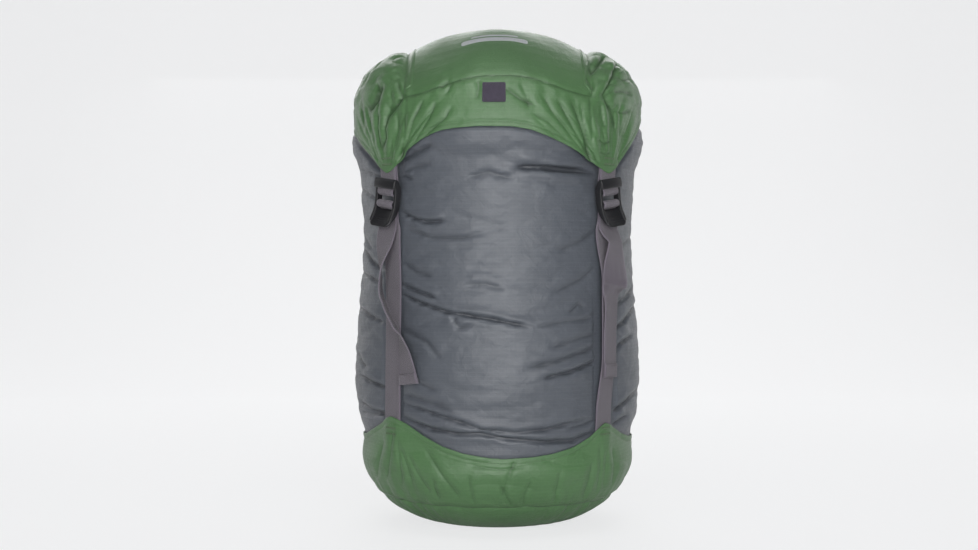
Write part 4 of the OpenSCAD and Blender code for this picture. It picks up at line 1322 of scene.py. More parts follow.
# ---------------------------------------------------------------- body cloth, laid over the filling
def build_body():
    rows, cols = 100, 212
    theta = np.linspace(-np.pi, np.pi, cols, endpoint=False)
    T, Z = np.meshgrid(theta, np.linspace(28.0, TUBE_TOP, rows))
    near, t, front = to_strap(T)
    rim = base_edge(theta)[None]
    low = np.interp(Z, [20, 30, 45, 60, 80, 97], [98, 103.5, 113.5, 117.6, 119.2, 120.6]) + 12.0 * step(rim - 1, rim + 12, Z)
    R0 = np.minimum(body_radius(T, Z), low)
    inside = step(62, 84, Z) * (1 - step(348, 359, Z)) * step(0.05, 0.22, t)
    P = np.stack([R0 * np.sin(T), -R0 * np.cos(T), Z], -1)
    N = grid_normals(P)
    seed = fold_height(T, Z, 11) * 0.6 + press(P, N, BODY_FOLDS) * 0.55 + press(P, N, BODY_FOLDS, True) * 0.55
    start = P + N * ((seed - 0.4) * inside)[..., None]
    rest = P * np.array([1.003, 1.003, 1.0])
    rest[..., 2] = Z * 1.075
    core = (P - N * 2.6)[::2, ::2]
    held = (Z < 68) | (Z > 352) | (np.abs(near) * 120 < 9.5)
    settled = simulate("body_settling", start, rest, held.astype(float), core, frames=34)
    P = regrid(settled, 300, 424)
    T = np.arctan2(P[..., 0], -P[..., 1])
    material_t = np.repeat(np.linspace(-np.pi, np.pi, 424, endpoint=False)[None], 300, 0)
    material_z = np.repeat(np.linspace(28.0, TUBE_TOP, 300)[:, None], 424, 1)
    near, t, front = to_strap(material_t)
    inside = step(64, 84, material_z) * (1 - step(346, 358, material_z)) * step(0.04, 0.16, t)
    N = grid_normals(P)
    sharp = (press(P, N, BODY_FOLDS) + press(P, N, BODY_FOLDS, True)) * 1.0
    fine = 0.16 * noise(ring(material_t, 120), material_z / 4.5, 21, 120) + 0.3 * noise(ring(material_t, 50), material_z / 8.0, 22, 50)
    P = P + N * ((sharp + fine) * inside)[..., None]
    # painted shade for the fold valleys, kept as the fold attribute
    dark = np.clip((-sharp - 0.30) / 1.7, 0, 1) * inside
    r = np.hypot(P[..., 0], P[..., 1])
    T = np.arctan2(P[..., 0], -P[..., 1])
    near_mm = to_strap(T)[0] * 120
    sway = np.where((T > 0) & (T < np.pi / 2), 5.0, 0.0)
    under_strap = (near_mm > -12.5) & (near_mm < 12.5 + sway)
    top_end = np.interp(P[..., 2], [330, 350, 359.8], [200, 124, 118.6])
    bound = np.minimum.reduce([CAP_WALL.at(T, P[..., 2]) - 1.5, BASE_WALL.at(T, P[..., 2]) - 1.5, np.where(under_strap, 119.4, 200.0), top_end])
    over = np.clip(r - bound, 0, None)
    P[..., :2] *= ((r - over) / r)[..., None]
    uv = np.stack([(material_t + np.pi) * 120.0, material_z], -1)
    cloth = grid_object("body_cloth", P, closed=True, uv=uv, closed_uv_width=2 * np.pi * 120.0)
    mark_fold_shade(cloth, dark)
    return cloth


CAP_WALL = Radii(SKIRT_P, (0.9, 3.0))
BASE_WALL = Radii(BASE_P, (3.0, 0.9))
body = build_body()
body_tree = bvh_of(body)
base_tree = bvh_of(bpy.data.objects["base_skirt_cloth"])
TRAVEL = {j["name"]: max(abs(v) for v in j["range_m"]) * 1000 for j in frame["record"]["behaviour"]["joints"] if "range_m" in j}
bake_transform(body)
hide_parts("body_tube_lower", "body_tube_upper")
give(body, "body_fabric")


def band_on_cap(side):
    """The flat, double-stitched seam band that runs front to back over the cap."""
    x0, half = side * (STRIP_HALF - 1.9), 3.6
    ys = np.linspace(-100.5, 100.5, 200)
    rows = []
    for y in ys:
        row = []
        for a in (-half, -half * 0.6, 0, half * 0.6, half):
            got = hit(cap_tree, (x0 + a, y, 500), (0, 0, -1))
            if got is None:
                row = None
                break
            p, n = got
            row.append(np.concatenate([p, n]))
        if row:
            rows.append(row)
    rows = np.array(rows)
    n = rows[..., 3:]
    n = np.where(n[..., 2:] < 0, -n, n)
    p = rows[..., :3]
    for _ in range(2):
        p[1:-1] = (p[:-2] + 2 * p[1:-1] + p[2:]) / 4
    mid_n = n[:, 2]
    lift = np.array([0.15, 0.75, 0.85, 0.75, 0.15])
    top = p + n * lift[None, :, None]
    low = p - n * 0.5
    ringp = np.concatenate([top, low[:, ::-1]], 1)
    cols = ringp.shape[1]
    seg = np.concatenate([[0], np.cumsum(np.linalg.norm(np.diff(p[:, 2], axis=0), axis=1))])
    u = np.concatenate([np.linspace(0, 7.2, 5), np.linspace(7.2, 0, 5)])
    uv = np.stack([np.broadcast_to(u[None], (len(p), cols)), np.broadcast_to(seg[:, None], (len(p), cols))], -1).reshape(-1, 2)
    faces = [tuple(f) for f in grid_faces(len(p), cols, True)]
    faces.append(tuple(range(cols)))
    faces.append(tuple(((len(p) - 1) * cols + k) for k in range(cols))[::-1])
    word = "right" if side > 0 else "left"
    o = make_object("cap_seam_band_" + word + "_cloth", ringp.reshape(-1, 3), faces, uv)
    fix_normals(o)
    subdivide(o, 1)
    give(o, "cap_fabric")
    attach(o, "cap")
    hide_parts("cap_seam_band_" + word)
    for k, c in ((0, 1), (1, 3)):
        st = stitches("cap_band_stitches_%s_%d" % (word, k), top[:, c] + n[:, c] * 0.05, n[:, c], length=1.9, gap=1.0, r=0.2)
        give(st, "thread_green")
        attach(st, "cap")


for side in (-1, 1):
    band_on_cap(side)


def label():
    lo, hi = box_mm("cap_label")
    w, n_u, n_v = hi[0] - lo[0], 12, 10
    top = cap_seam(np.array([0.0]))[0] - 6.0
    zs = np.linspace(top, top - (hi[2] - lo[2]), n_v + 1)
    rows = []
    for i, z in enumerate(zs):
        row = []
        for a in np.linspace(lo[0], hi[0], n_u + 1) - 3.6:
            th = math.asin(a / SEAM_R)
            got = radial_hit(skirt_tree, th, z)
            r = np.linalg.norm(got[0][:2])
            lift = 0.5 + 0.9 * (i / n_v) ** 2 + 0.35 * math.sin(a * 0.32)
            row.append(((r + lift) * math.sin(th), -(r + lift) * math.cos(th), z))
        rows.append(row)
    P = np.array(rows)
    P[1:-1] = (P[:-2] + 2 * P[1:-1] + P[2:]) / 4
    uv = np.stack(np.meshgrid(np.linspace(0, w, n_u + 1), zs), -1)
    o = grid_object("cap_label_cloth", P, uv=uv, flip=True)
    fix_normals(o)
    subdivide(o, 1)
    if np.array([p.normal for p in o.data.polygons]).mean(0)[1] > 0:
        o.data.flip_normals()
    solidify(o, 0.6, 0.0)
    give(o, "label_cloth")
    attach(o, "cap")
    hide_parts("cap_label")
    out = np.array([0, -1.0, 0])
    line = P[1:-1, :, :]
    pts = [P[1, j] + out * 0.35 for j in range(1, n_u)]
    st = stitches("cap_label_stitches", np.array(pts), np.tile(out, (len(pts), 1)), length=1.6, gap=0.8, r=0.2)
    give(st, "thread")
    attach(st, "cap")


label()


def print_bars():
    """Plain printed bars that follow the cap's top."""
    parts = []
    for (x0, x1, y0, y1, r) in ((-31, 25, -85, -77, 2.0), (-23, 17, -74, -71, 1.0)):
        nu, nv = 40, 10
        X, Y = np.meshgrid(np.linspace(x0, x1, nu + 1), np.linspace(y0, y1, nv + 1))
        P = np.zeros((nv + 1, nu + 1, 3))
        for i in range(nv + 1):
            for j in range(nu + 1):
                x, y = X[i, j], Y[i, j]
                cy = (y0 + y1) / 2
                e = min(x - x0, x1 - x)
                if e < r:
                    half = (y1 - y0) / 2 - r + math.sqrt(max(r * r - (r - e) ** 2, 0))
                    y = cy + (y - cy) * half / ((y1 - y0) / 2)
                got = hit(cap_tree, (x, y, 500), (0, 0, -1))
                P[i, j] = got[0] + np.array([0, 0, 0.16])
        o = grid_object("bar", P)
        if np.array([p.normal for p in o.data.polygons]).mean(0)[2] < 0:
            o.data.flip_normals()
        solidify(o, 0.12, -1.0)
        parts.append(o)
    o = join("cap_print_bars", parts)
    give(o, "print_ink")
    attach(o, "cap")
    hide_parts("cap_print")


print_bars()


# ---------------------------------------------------------------- straps
def strap_frame(s):
    k = LOCK[s]
    out, across = k["out"], k["across"]
    return out, across


def local(s, a, o, z):
    """Point at across a, outward o from the upper bar, height z."""
    out, across = strap_frame(s)
    return out * (LOCK_R + o) + across * a + np.array([0, 0, z])


def ribbon_local(name, s, rows, width=WEB, thick=1.25, uv_z=None, uv_start=0.0):
    """rows of (across, outward, height, twist in degrees, width share); the twist turns the band about its own length."""
    rows = np.asarray(rows, float)
    out, across = strap_frame(s)
    centre = out[None] * (LOCK_R + rows[:, 1:2]) + across[None] * rows[:, 0:1] + np.array([0, 0, 1.0])[None] * rows[:, 2:3]
    tan = np.gradient(centre, axis=0)
    tan /= np.linalg.norm(tan, axis=1)[:, None] + 1e-9
    a0 = across[None] - tan * (tan @ across)[:, None]
    a0 /= np.linalg.norm(a0, axis=1)[:, None] + 1e-9
    n0 = np.cross(tan, a0)
    tw = np.radians(rows[:, 3])[:, None]
    a1 = a0 * np.cos(tw) + n0 * np.sin(tw)
    n1 = np.cross(tan, a1)
    return ribbon(name, centre, a1, n1, width * rows[:, 4], thick, uv_z=uv_z, uv_start=uv_start)


LEAN = math.radians(8.0)                   # the locks hang with their outer end up
TOP_Z = BAR1_Z - 20.0                      # where the load strap turns in towards the lower bar


def lean(obj, s):
    """Turns the part of a piece near the lock in the lock's own plane; webbing fades back to straight above and below."""
    out, across = strap_frame(s)
    sign = 1.0 if across[0] * out[0] > 0 else -1.0
    co = coords(obj)
    zr = co[:, 2] - BAR1_Z
    a = (co @ across) * sign
    phi = LEAN * step(-32, -18, zr) * (1 - step(6, 18, zr)) if "lock" not in obj.name else np.full_like(zr, LEAN)
    a2 = a * np.cos(phi) - zr * np.sin(phi)
    z2 = zr * np.cos(phi) + a * np.sin(phi)
    co = co + across[None] * ((a2 - a) * sign)[:, None]
    co[:, 2] = z2 + BAR1_Z
    set_coords(obj, co)


def strap_lines(s, z):
    """Across and outward place of the load strap, and its twist, by height."""
    bell = step(98, 150, z) * (1 - step(215, 255, z))
    a = {"front_left": 0.6, "front_right": 5.0, "rear_left": 0.9, "rear_right": -0.8}[s] * bell
    a = a + 0.35 * np.sin(z / 23.0) * bell
    o = -5.5 + 0.25 * np.sin(z / 19.0) * bell - 0.5 * (1 - step(84, 100, z)) + {"front_right": 1.3}.get(s, 0.0) * bell
    tw = (1.2 * np.sin(z / 31.0) + {"front_right": 8.0}.get(s, 0.0)) * bell
    return a, o, tw


for s in SIDES:
    z0, z1 = box_mm("load_strap_" + s)[0][2] + 1.5, TOP_Z - 6.0
    zz = np.linspace(z0, z1, 96)
    a, o, tw = strap_lines(s, zz)
    lower = ribbon_local("load_strap_%s_lower" % s, s, np.stack([a, o, zz, tw, np.ones_like(zz)], 1), uv_z=zz)
    lean(lower, s)
    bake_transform(lower)
    give(lower, "webbing")
    zz2 = np.linspace(z1, TOP_Z + 0.8, 12)
    a, o, tw = strap_lines(s, zz2)
    upper = ribbon_local("load_strap_%s_upper" % s, s, np.stack([a, o, zz2, tw, np.ones_like(zz2)], 1), uv_z=zz2)
    lean(upper, s)
    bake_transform(upper)
    give(upper, "webbing")
    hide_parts("load_strap_" + s)


def arc(cx, cz, r, a0, a1, n):
    """Points on a circle in (outward, height); 0 is outward, 90 is up."""
    t = np.radians(np.linspace(a0, a1, n))
    return np.stack([cx + r * np.cos(t), cz + r * np.sin(t)], 1)


def wrap_and_tail(s, tail, widths=None):
    """Webbing from the load strap's upper end, over the lower bar, under the thumb tab and down to the free end."""
    r = 2.08 + 0.62
    lead = smooth_path([(-5.5, -20.8), (-5.2, -17.5), (-4.2, -13.6), (-r, BAR2 - 0.2)], 5)[:-1]
    turn = arc(0, BAR2, r, 180, -8, 16)
    dive = smooth_path([(r, BAR2 - 0.6), (1.7, -12.4), (-0.9, -13.35), (-3.2, -14.9), (-3.85, -18.5)], 6)[1:]
    path2 = np.vstack([lead, turn, dive])
    head = np.stack([np.zeros(len(path2)), path2[:, 0], path2[:, 1] + BAR1_Z, np.zeros(len(path2)), np.ones(len(path2))], 1)
    tail = smooth_path(np.array([[0, -3.85, BAR1_Z - 18.5, 0, 1.0]] + tail), 9)
    # the free end rests on the filled tube and on the load strap, never in them
    need = np.zeros(len(tail))
    out, across = strap_frame(s)
    for i, (a, o, z, tw, w) in enumerate(tail):
        if z > BAR1_Z - 34:
            continue
        c, sn = math.cos(math.radians(tw)), math.sin(math.radians(tw))
        for e in (-10.0, -5.0, 0.0, 5.0, 10.0):
            ae, oe = a + e * c, o + e * sn
            p = local(s, ae, oe, z)
            th = math.atan2(p[0], -p[1])
            got = radial_hit(body_tree, th, z)
            r_body = np.linalg.norm(got[0][:2]) if got else 119.0
            deficit = r_body + 1.3 - math.hypot(p[0], p[1])
            # the tail comes down in front of the base's skirt when the sack is compressed
            low = radial_hit(base_tree, th, z - TRAVEL["compression"])
            if low and z - TRAVEL["compression"] > 8:
                deficit = max(deficit, np.linalg.norm(low[0][:2]) + 2.1 - math.hypot(p[0], p[1]))
            sa, so, st = strap_lines(s, z)
            if abs(ae - sa) < 11.5:
                deficit = max(deficit, so - (ae - sa) * math.sin(math.radians(st)) + 1.5 - oe)
            need[i] = max(need[i], deficit)
    wide = np.array([need[max(0, i - 4):i + 5].max() for i in range(len(need))])
    for _ in range(4):
        wide[1:-1] = (wide[:-2] + 2 * wide[1:-1] + wide[2:]) / 4
    tail[:, 1] += np.maximum(wide, need)
    rows = np.vstack([head, tail[1:]])
    o = ribbon_local("strap_tail_" + s + "_webbing", s, rows)
    lean(o, s)
    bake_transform(o)
    give(o, "webbing")
    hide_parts("strap_tail_" + s, "strap_wrap_" + s)
    return o, rows


B = BAR1_Z
TAILS = {
    # across, outward, height, twist, width
    "front_left": [[-1.5, -3.2, B - 25, -6, 1], [-2.6, -0.8, B - 34, -10, 1], [-3.6, 1.2, B - 45, 0, 1], [-4.0, 3.0, B - 55, 20, 1], [-3.8, 4.4, B - 65, 38, 1], [-2.8, 4.8, B - 76, 46, 1],
                   [0.5, 4.8, B - 88, 50, 1], [7.0, 4.2, B - 100, 50, 1], [14.0, 3.0, B - 111, 46, 1], [19.0, 1.4, B - 122, 32, 1], [22.0, 0.0, B - 134, 14, 1], [24.0, -1.4, B - 147, 2, 1],
                   [25.5, -2.6, B - 160, -8, 1]],
    "front_right": [[1.0, -3.0, B - 25, 10, 1], [2.5, -1.0, B - 32, 10, 1], [5.5, 2.6, B - 41, -4, 1], [5.0, 3.4, B - 50, 4, 1], [3.6, 3.8, B - 60, 20, 1], [2.2, 4.8, B - 70, 38, 1],
                    [1.4, 5.2, B - 77, 46, 1], [3.6, 1.2, B - 82, 18, 1], [4.8, -1.6, B - 89, -4, 1], [5.2, -2.0, B - 102, -8, 1], [5.2, -2.2, B - 120, -8, 1], [5.0, -2.2, B - 138, -8, 1],
                    [4.4, -2.2, B - 156, -8, 1]],
    "rear_left": [[1.0, -3.2, B - 25, 2, 1], [2.5, -1.0, B - 34, 5, 1], [4.0, 0.6, B - 52, 14, 1], [4.2, 1.8, B - 74, 30, 1], [2.4, 2.6, B - 96, 38, 1], [-0.8, 2.4, B - 118, 24, 1],
                  [-2.8, 1.6, B - 138, 10, 1], [-3.4, 1.4, B - 158, 6, 1]],
    "rear_right": [[-1.0, -3.2, B - 25, -2, 1], [-3.0, -1.0, B - 34, -5, 1], [-5.0, 0.8, B - 52, -8, 1], [-6.2, 1.8, B - 74, -16, 1], [-6.0, 2.2, B - 96, -26, 1], [-4.6, 2.0, B - 118, -30, 1],
                   [-3.2, 1.6, B - 138, -18, 1], [-2.6, 1.4, B - 156, -10, 1]],
}
for s in SIDES:
    o, rows = wrap_and_tail(s, TAILS[s])
    # the folded and stitched end of the webbing
    end = rows[-9:].copy()
    end[:, 1] += 1.3
    hem = ribbon_local("strap_end_hem_" + s, s, end[-7:] + np.array([0, 0.0, 0.1, 0, 0]))
    give(hem, "webbing")
    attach(hem, "cap")
    out, across = strap_frame(s)
    k = -6
    centre = local(s, end[k][0], end[k][1] + 0.7, end[k][2])
    tw = math.radians(end[k][3])
    a1 = across * math.cos(tw) - out * math.sin(tw)
    n1 = out * math.cos(tw) + across * math.sin(tw)
    pts = np.array([centre + a1 * x for x in np.linspace(-8.8, 8.8, 14)])
    st = stitches("strap_end_stitches_" + s, pts, np.tile(n1, (len(pts), 1)), length=1.8, gap=0.6, r=0.26)
    give(st, "thread_web")
    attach(st, "cap")


for s in SIDES:
    # the cap's webbing tab, doubled round the upper bar
    r = 2.08 + 0.62
    top = TIP_CAP - B + 15.0
    back = smooth_path([(-1.9, top), (-2.0, 15), (-2.4, 9), (-r, 3.0), (-r, 0.4)], 6)[:-1]
    turn = arc(0, 0, r, 180, 360, 18)
    front = smooth_path([(r, 0.4), (1.9, 5), (0.6, 10), (-0.35, 14), (-0.55, top)], 6)[1:]
    path2 = np.vstack([back, turn, front])
    rows = np.stack([np.zeros(len(path2)), path2[:, 0], path2[:, 1] + B, np.zeros(len(path2)), np.ones(len(path2))], 1)
    o = ribbon_local("cap_tab_%s_webbing" % s, s, rows)
    lean(o, s)
    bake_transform(o)
    give(o, "webbing")
    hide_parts("cap_tab_" + s)


# ---------------------------------------------------------------- ladder locks
def chaikin(poly, n=2):
    p = np.asarray(poly, float)
    for _ in range(n):
        q = np.roll(p, -1, 0)
        p = np.stack([p * 0.75 + q * 0.25, p * 0.25 + q * 0.75], 1).reshape(-1, 2)
    return p


def extrude_across(bm, poly, w, at):
    """A closed profile in (outward, height) drawn out across the strap."""
    rings = []
    for x in (at - w / 2, at + w / 2):
        rings.append([bm.verts.new((x * MM, -p[0] * MM, p[1] * MM)) for p in poly])
    n = len(poly)
    for k in range(n):
        bm.faces.new((rings[0][k], rings[0][(k + 1) % n], rings[1][(k + 1) % n], rings[1][k]))
    bm.faces.new(rings[0][::-1])
    bm.faces.new(rings[1])


def lock_mesh():
    inner, rail = 21.4, 2.9
    w = inner + 2 * rail
    parts = []

    def part(fill, width, segs=3, angle=35):
        bm = bmesh.new()
        fill(bm)
        bmesh.ops.recalc_face_normals(bm, faces=bm.faces)
        mesh = bpy.data.meshes.new("lock_part")
        bm.to_mesh(mesh)
        bm.free()
        o = bpy.data.objects.new("lock_part", mesh)
        bpy.context.scene.collection.objects.link(o)
        b = o.modifiers.new("edge", "BEVEL")
        b.width, b.segments, b.limit_method, b.angle_limit = width * MM, segs, "ANGLE", math.radians(angle)
        b.harden_normals = False
        apply_modifiers(o)
        parts.append(o)

    rail_poly = chaikin([[-1.5, 7.2], [0.0, 9.8], [2.0, 11.2], [3.9, 10.9], [4.8, 9.0], [4.4, 5.8], [2.9, 3.2], [2.4, 0], [2.3, -8], [2.6, -13], [3.8, -17.4], [5.5, -21.4], [6.5, -24.4],
                         [6.2, -25.8], [4.6, -25.4], [1.6, -22.4], [-1, -19], [-3.2, -13], [-3.6, -5], [-3.4, 2], [-2.8, 5]], 2)
    for side in (-1, 1):
        part(lambda bm, side=side: extrude_across(bm, rail_poly, rail, side * (inner + rail) / 2), 0.75, 3, 50)
    for z in (0.0, BAR2):
        circle = [(2.0 * math.cos(t), z + 2.0 * math.sin(t)) for t in np.linspace(0, 2 * math.pi, 28, endpoint=False)]
        part(lambda bm, circle=circle: extrude_across(bm, circle, w - 1.0, 0), 0.05, 1, 80)
    hood = chaikin([[3.7, 3.0], [4.7, 2.8], [5.1, 5.6], [4.8, 9.0], [3.9, 10.9], [2.0, 11.2], [0.4, 10.2], [-0.6, 8.2], [0.9, 7.6], [2.6, 6.4]], 2)
    part(lambda bm: extrude_across(bm, hood, w - 0.8, 0), 0.4, 3, 50)

    # the thumb tab: a curved plate that flares outwards, with rounded corners and grip ridges
    def thumb(bm):
        line = smooth_path([(-1.2, -14.8), (0.0, -17.2), (1.5, -20.2), (3.5, -23.2), (5.6, -26.0), (6.9, -28.2), (7.2, -29.2)], 7)
        seg = np.concatenate([[0], np.cumsum(np.linalg.norm(np.diff(line, axis=0), axis=1))])
        total = seg[-1]
        tan = np.gradient(line, axis=0)
        tan /= np.linalg.norm(tan, axis=1)[:, None]
        nor = np.stack([-tan[:, 1], tan[:, 0]], 1)
        xs = np.linspace(-1, 1, 25)
        top, low = [], []
        for i, (p, n) in enumerate(zip(line, nor)):
            left = total - seg[i]
            corner = 6.0
            half = (w - 0.5) / 2
            if left < corner:
                half = half - corner + math.sqrt(max(corner ** 2 - (corner - left) ** 2, 0.0)) + 0.02
            ridge = 0.28 * sum(math.exp(-((left - c) / 0.5) ** 2) for c in (4.2, 6.2, 8.2))
            bowl = 0.9 * step(0.0, 5.0, left)
            thick = 1.15 * (0.55 + 0.45 * min(left / 2.0, 1.0))
            rt, rl = [], []
            for x in xs:
                e = min((1 - abs(x)) * half, 1.2) / 1.2
                t = thick * (0.45 + 0.55 * math.sqrt(max(0.0, 1 - (1 - e) ** 2)))
                grip = ridge * step(0.0, 0.12, 1 - abs(x) - 0.16)
                dish = -bowl * (1 - min(abs(x) / 0.85, 1.0) ** 2)
                rt.append(bm.verts.new((x * half * MM, -(p[0] + n[0] * (t + grip + dish)) * MM, (p[1] + n[1] * (t + grip + dish)) * MM)))
                rl.append(bm.verts.new((x * half * MM, -(p[0] - n[0] * (t - dish)) * MM, (p[1] - n[1] * (t - dish)) * MM)))
            top.append(rt)
            low.append(rl)
        m, k = len(top), len(xs)
        for i in range(m - 1):
            for j in range(k - 1):
                bm.faces.new((top[i][j], top[i][j + 1], top[i + 1][j + 1], top[i + 1][j]))
                bm.faces.new((low[i][j], low[i + 1][j], low[i + 1][j + 1], low[i][j + 1]))
            bm.faces.new((top[i][0], top[i + 1][0], low[i + 1][0], low[i][0]))
            bm.faces.new((top[i][-1], low[i][-1], low[i + 1][-1], top[i + 1][-1]))
        for j in range(k - 1):
            bm.faces.new((top[0][j], low[0][j], low[0][j + 1], top[0][j + 1]))
            bm.faces.new((top[-1][j], top[-1][j + 1], low[-1][j + 1], low[-1][j]))

    part(thumb, 0.25, 2, 60)
    o = join("ladder_lock_work", parts)
    mesh = o.data
    bpy.data.objects.remove(o)
    return mesh


LOCK_MESH = lock_mesh()
for s in SIDES:
    k = LOCK[s]
    mesh = LOCK_MESH.copy()
    turn = Matrix.Rotation(k["theta"], 4, "Z") @ Matrix.Translation((0, -LOCK_R * MM, B * MM))
    mesh.transform(turn)
    o = bpy.data.objects.new("ladder_lock_%s_moulding" % s, mesh)
    bpy.context.scene.collection.objects.link(o)
    lean(o, s)
    give(o, "buckle_plastic")
    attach(o, "ladder_lock_body_" + s)
    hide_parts("ladder_lock_" + s)


# ---------------------------------------------------------------- bar tacks
def tacks(name, node, body_name, tree, z_mid):
    parts = []
    for s in SIDES:
        th = LOCK[s]["theta"]
        for z in (z_mid, z_mid + 5.0):
            pts, nor = [], []
            for i, x in enumerate(np.linspace(-6.5, 6.5, 27)):
                zz = z + (0.9 if i % 2 else -0.9)
                t2 = th + math.asin(x / 124.0)
                got = radial_hit(tree, t2, zz)
                if got is None:
                    continue
                p, n = got
                if n @ np.array([math.sin(t2), -math.cos(t2), 0]) < 0:
                    n = -n
                pts.append(p + n * 0.22)
                nor.append(n)
            pts, nor = np.array(pts), np.array(nor)
            for i in range(len(pts) - 1):
                parts.append(stitches("t", pts[i:i + 2], nor[i:i + 2], length=1.9, gap=0.0, r=0.22, proud=0.05))
    o = join(name, parts)
    give(o, "thread_green")
    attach(o, body_name)
    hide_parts(node)


tacks("base_bar_tack_threads", "base_bar_tacks", "base", base_tree, TIP_BASE - 12.0)
tacks("cap_bar_tack_threads", "cap_bar_tacks", "cap", skirt_tree, TIP_CAP + 7.0)


# ---------------------------------------------------------------- mouth
def build_mouth():
    cols, rows = 300, 70
    theta = np.linspace(-np.pi, np.pi, cols, endpoint=False)
    mid_z = (HEM[0][2] + HEM[1][2]) / 2
    hem_r = (HEM[1][0] - HEM[0][0]) / 2 - 4.4
    k = np.linspace(0, 1, rows)
    r_line = np.interp(k, [0, 0.05, 0.15, 0.3, 0.5, 0.7, 0.86, 0.94, 1.0], [117.6, 116.8, 112, 100, 76, 50, 29, 19.5, hem_r + 1.0])
    z_line = np.interp(k, [0, 0.05, 0.15, 0.3, 0.5, 0.7, 0.86, 0.94, 1.0], [TUBE_TOP, TUBE_TOP + 7, TUBE_TOP + 14, TUBE_TOP + 21.5, TUBE_TOP + 29.5, TUBE_TOP + 33.8, TUBE_TOP + 35.2, TUBE_TOP + 36.0, mid_z - 4.7])
    T, R = np.meshgrid(theta, r_line)
    Z = np.repeat(z_line[:, None], cols, 1)
    pleats = 34
    phase = pleats * T + 2.2 * noise(ring(T, 6), R / 50.0, 101, 6)
    amp = np.interp(R, [14, 22, 40, 75, 105, 118], [1.0, 1.9, 3.0, 2.4, 1.0, 0.1])
    shape = np.abs(np.sin(phase / 2)) ** 0.8 * 2 - 1.1
    irregular = 0.75 + 0.5 * noise(ring(T, 17), R / 30.0, 102, 17)
    Z = Z + amp * shape * irregular * 0.8 - amp * 0.5
    R = R + noise(ring(T, 12), R / 25.0, 103, 12) * np.interp(R, [14, 40, 118], [0.1, 0.8, 0.2])
    P = np.stack([R * np.sin(T), -R * np.cos(T), Z], -1)
    uv = np.stack([(T + np.pi) * 120.0, Z * 0 + (k * 150)[:, None]], -1)
    collar = grid_object("mouth_collar_cloth", P, closed=True, uv=uv, closed_uv_width=2 * np.pi * 120)
    solidify(collar, 0.8, -1.0)
    give(collar, "body_fabric")
    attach(collar, "mouth")
    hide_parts("mouth_collar")
    # the gathered hem: a pleated tube
    n_t, n_c = 260, 22
    th = np.linspace(-np.pi, np.pi, n_t, endpoint=False)
    ph = np.linspace(0, 2 * np.pi, n_c, endpoint=False)
    A, Bc = np.meshgrid(th, ph)
    gather = np.abs(np.sin(pleats * A / 2 + 0.4 * noise(ring(A, 9), Bc, 104, 9))) ** 0.8
    # leave the front open where the eyelet stands
    front = np.exp(-(A * 14 / 5.5) ** 4)
    rr = 3.4 + 0.95 * gather * (1 - front) + 0.5 * front
    Rm = hem_r + rr * np.cos(Bc)
    P = np.stack([Rm * np.sin(A), -Rm * np.cos(A), mid_z + rr * np.sin(Bc) * 1.02], -1)
    uv = np.stack([(A + np.pi) * 60, Bc * 4], -1)
    P = np.concatenate([P, P[:1]], 0)
    uv = np.concatenate([uv, uv[:1] + np.array([0, 2 * np.pi * 4])], 0)
    hem = grid_object("mouth_hem_cloth", P, closed=True, uv=uv, closed_uv_width=2 * np.pi * 60)
    fix_normals(hem)
    give(hem, "body_fabric")
    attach(hem, "mouth")
    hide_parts("mouth_hem")


build_mouth()


def cord_curve(name, points, r, key, body_name, nodes=()):
    cu = bpy.data.curves.new(name, "CURVE")
    cu.dimensions = "3D"
    cu.bevel_depth = r * MM
    cu.bevel_resolution = 4
    cu.use_fill_caps = True
    sp = cu.splines.new("POLY")
    sp.points.add(len(points) - 1)
    for q, p in zip(sp.points, points):
        q.co = (p[0] * MM, p[1] * MM, p[2] * MM, 1)
    tmp = bpy.data.objects.new(name + "_c", cu)
    bpy.context.scene.collection.objects.link(tmp)
    dg = bpy.context.evaluated_depsgraph_get()
    mesh = bpy.data.meshes.new_from_object(tmp.evaluated_get(dg))
    bpy.data.objects.remove(tmp)
    o = bpy.data.objects.new(name, mesh)
    mesh.name = name
    bpy.context.scene.collection.objects.link(o)
    for p in mesh.polygons:
        p.use_smooth = True
    mesh.materials.clear()
    give(o, key)
    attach(o, body_name)
    if nodes:
        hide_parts(*nodes)
    return o


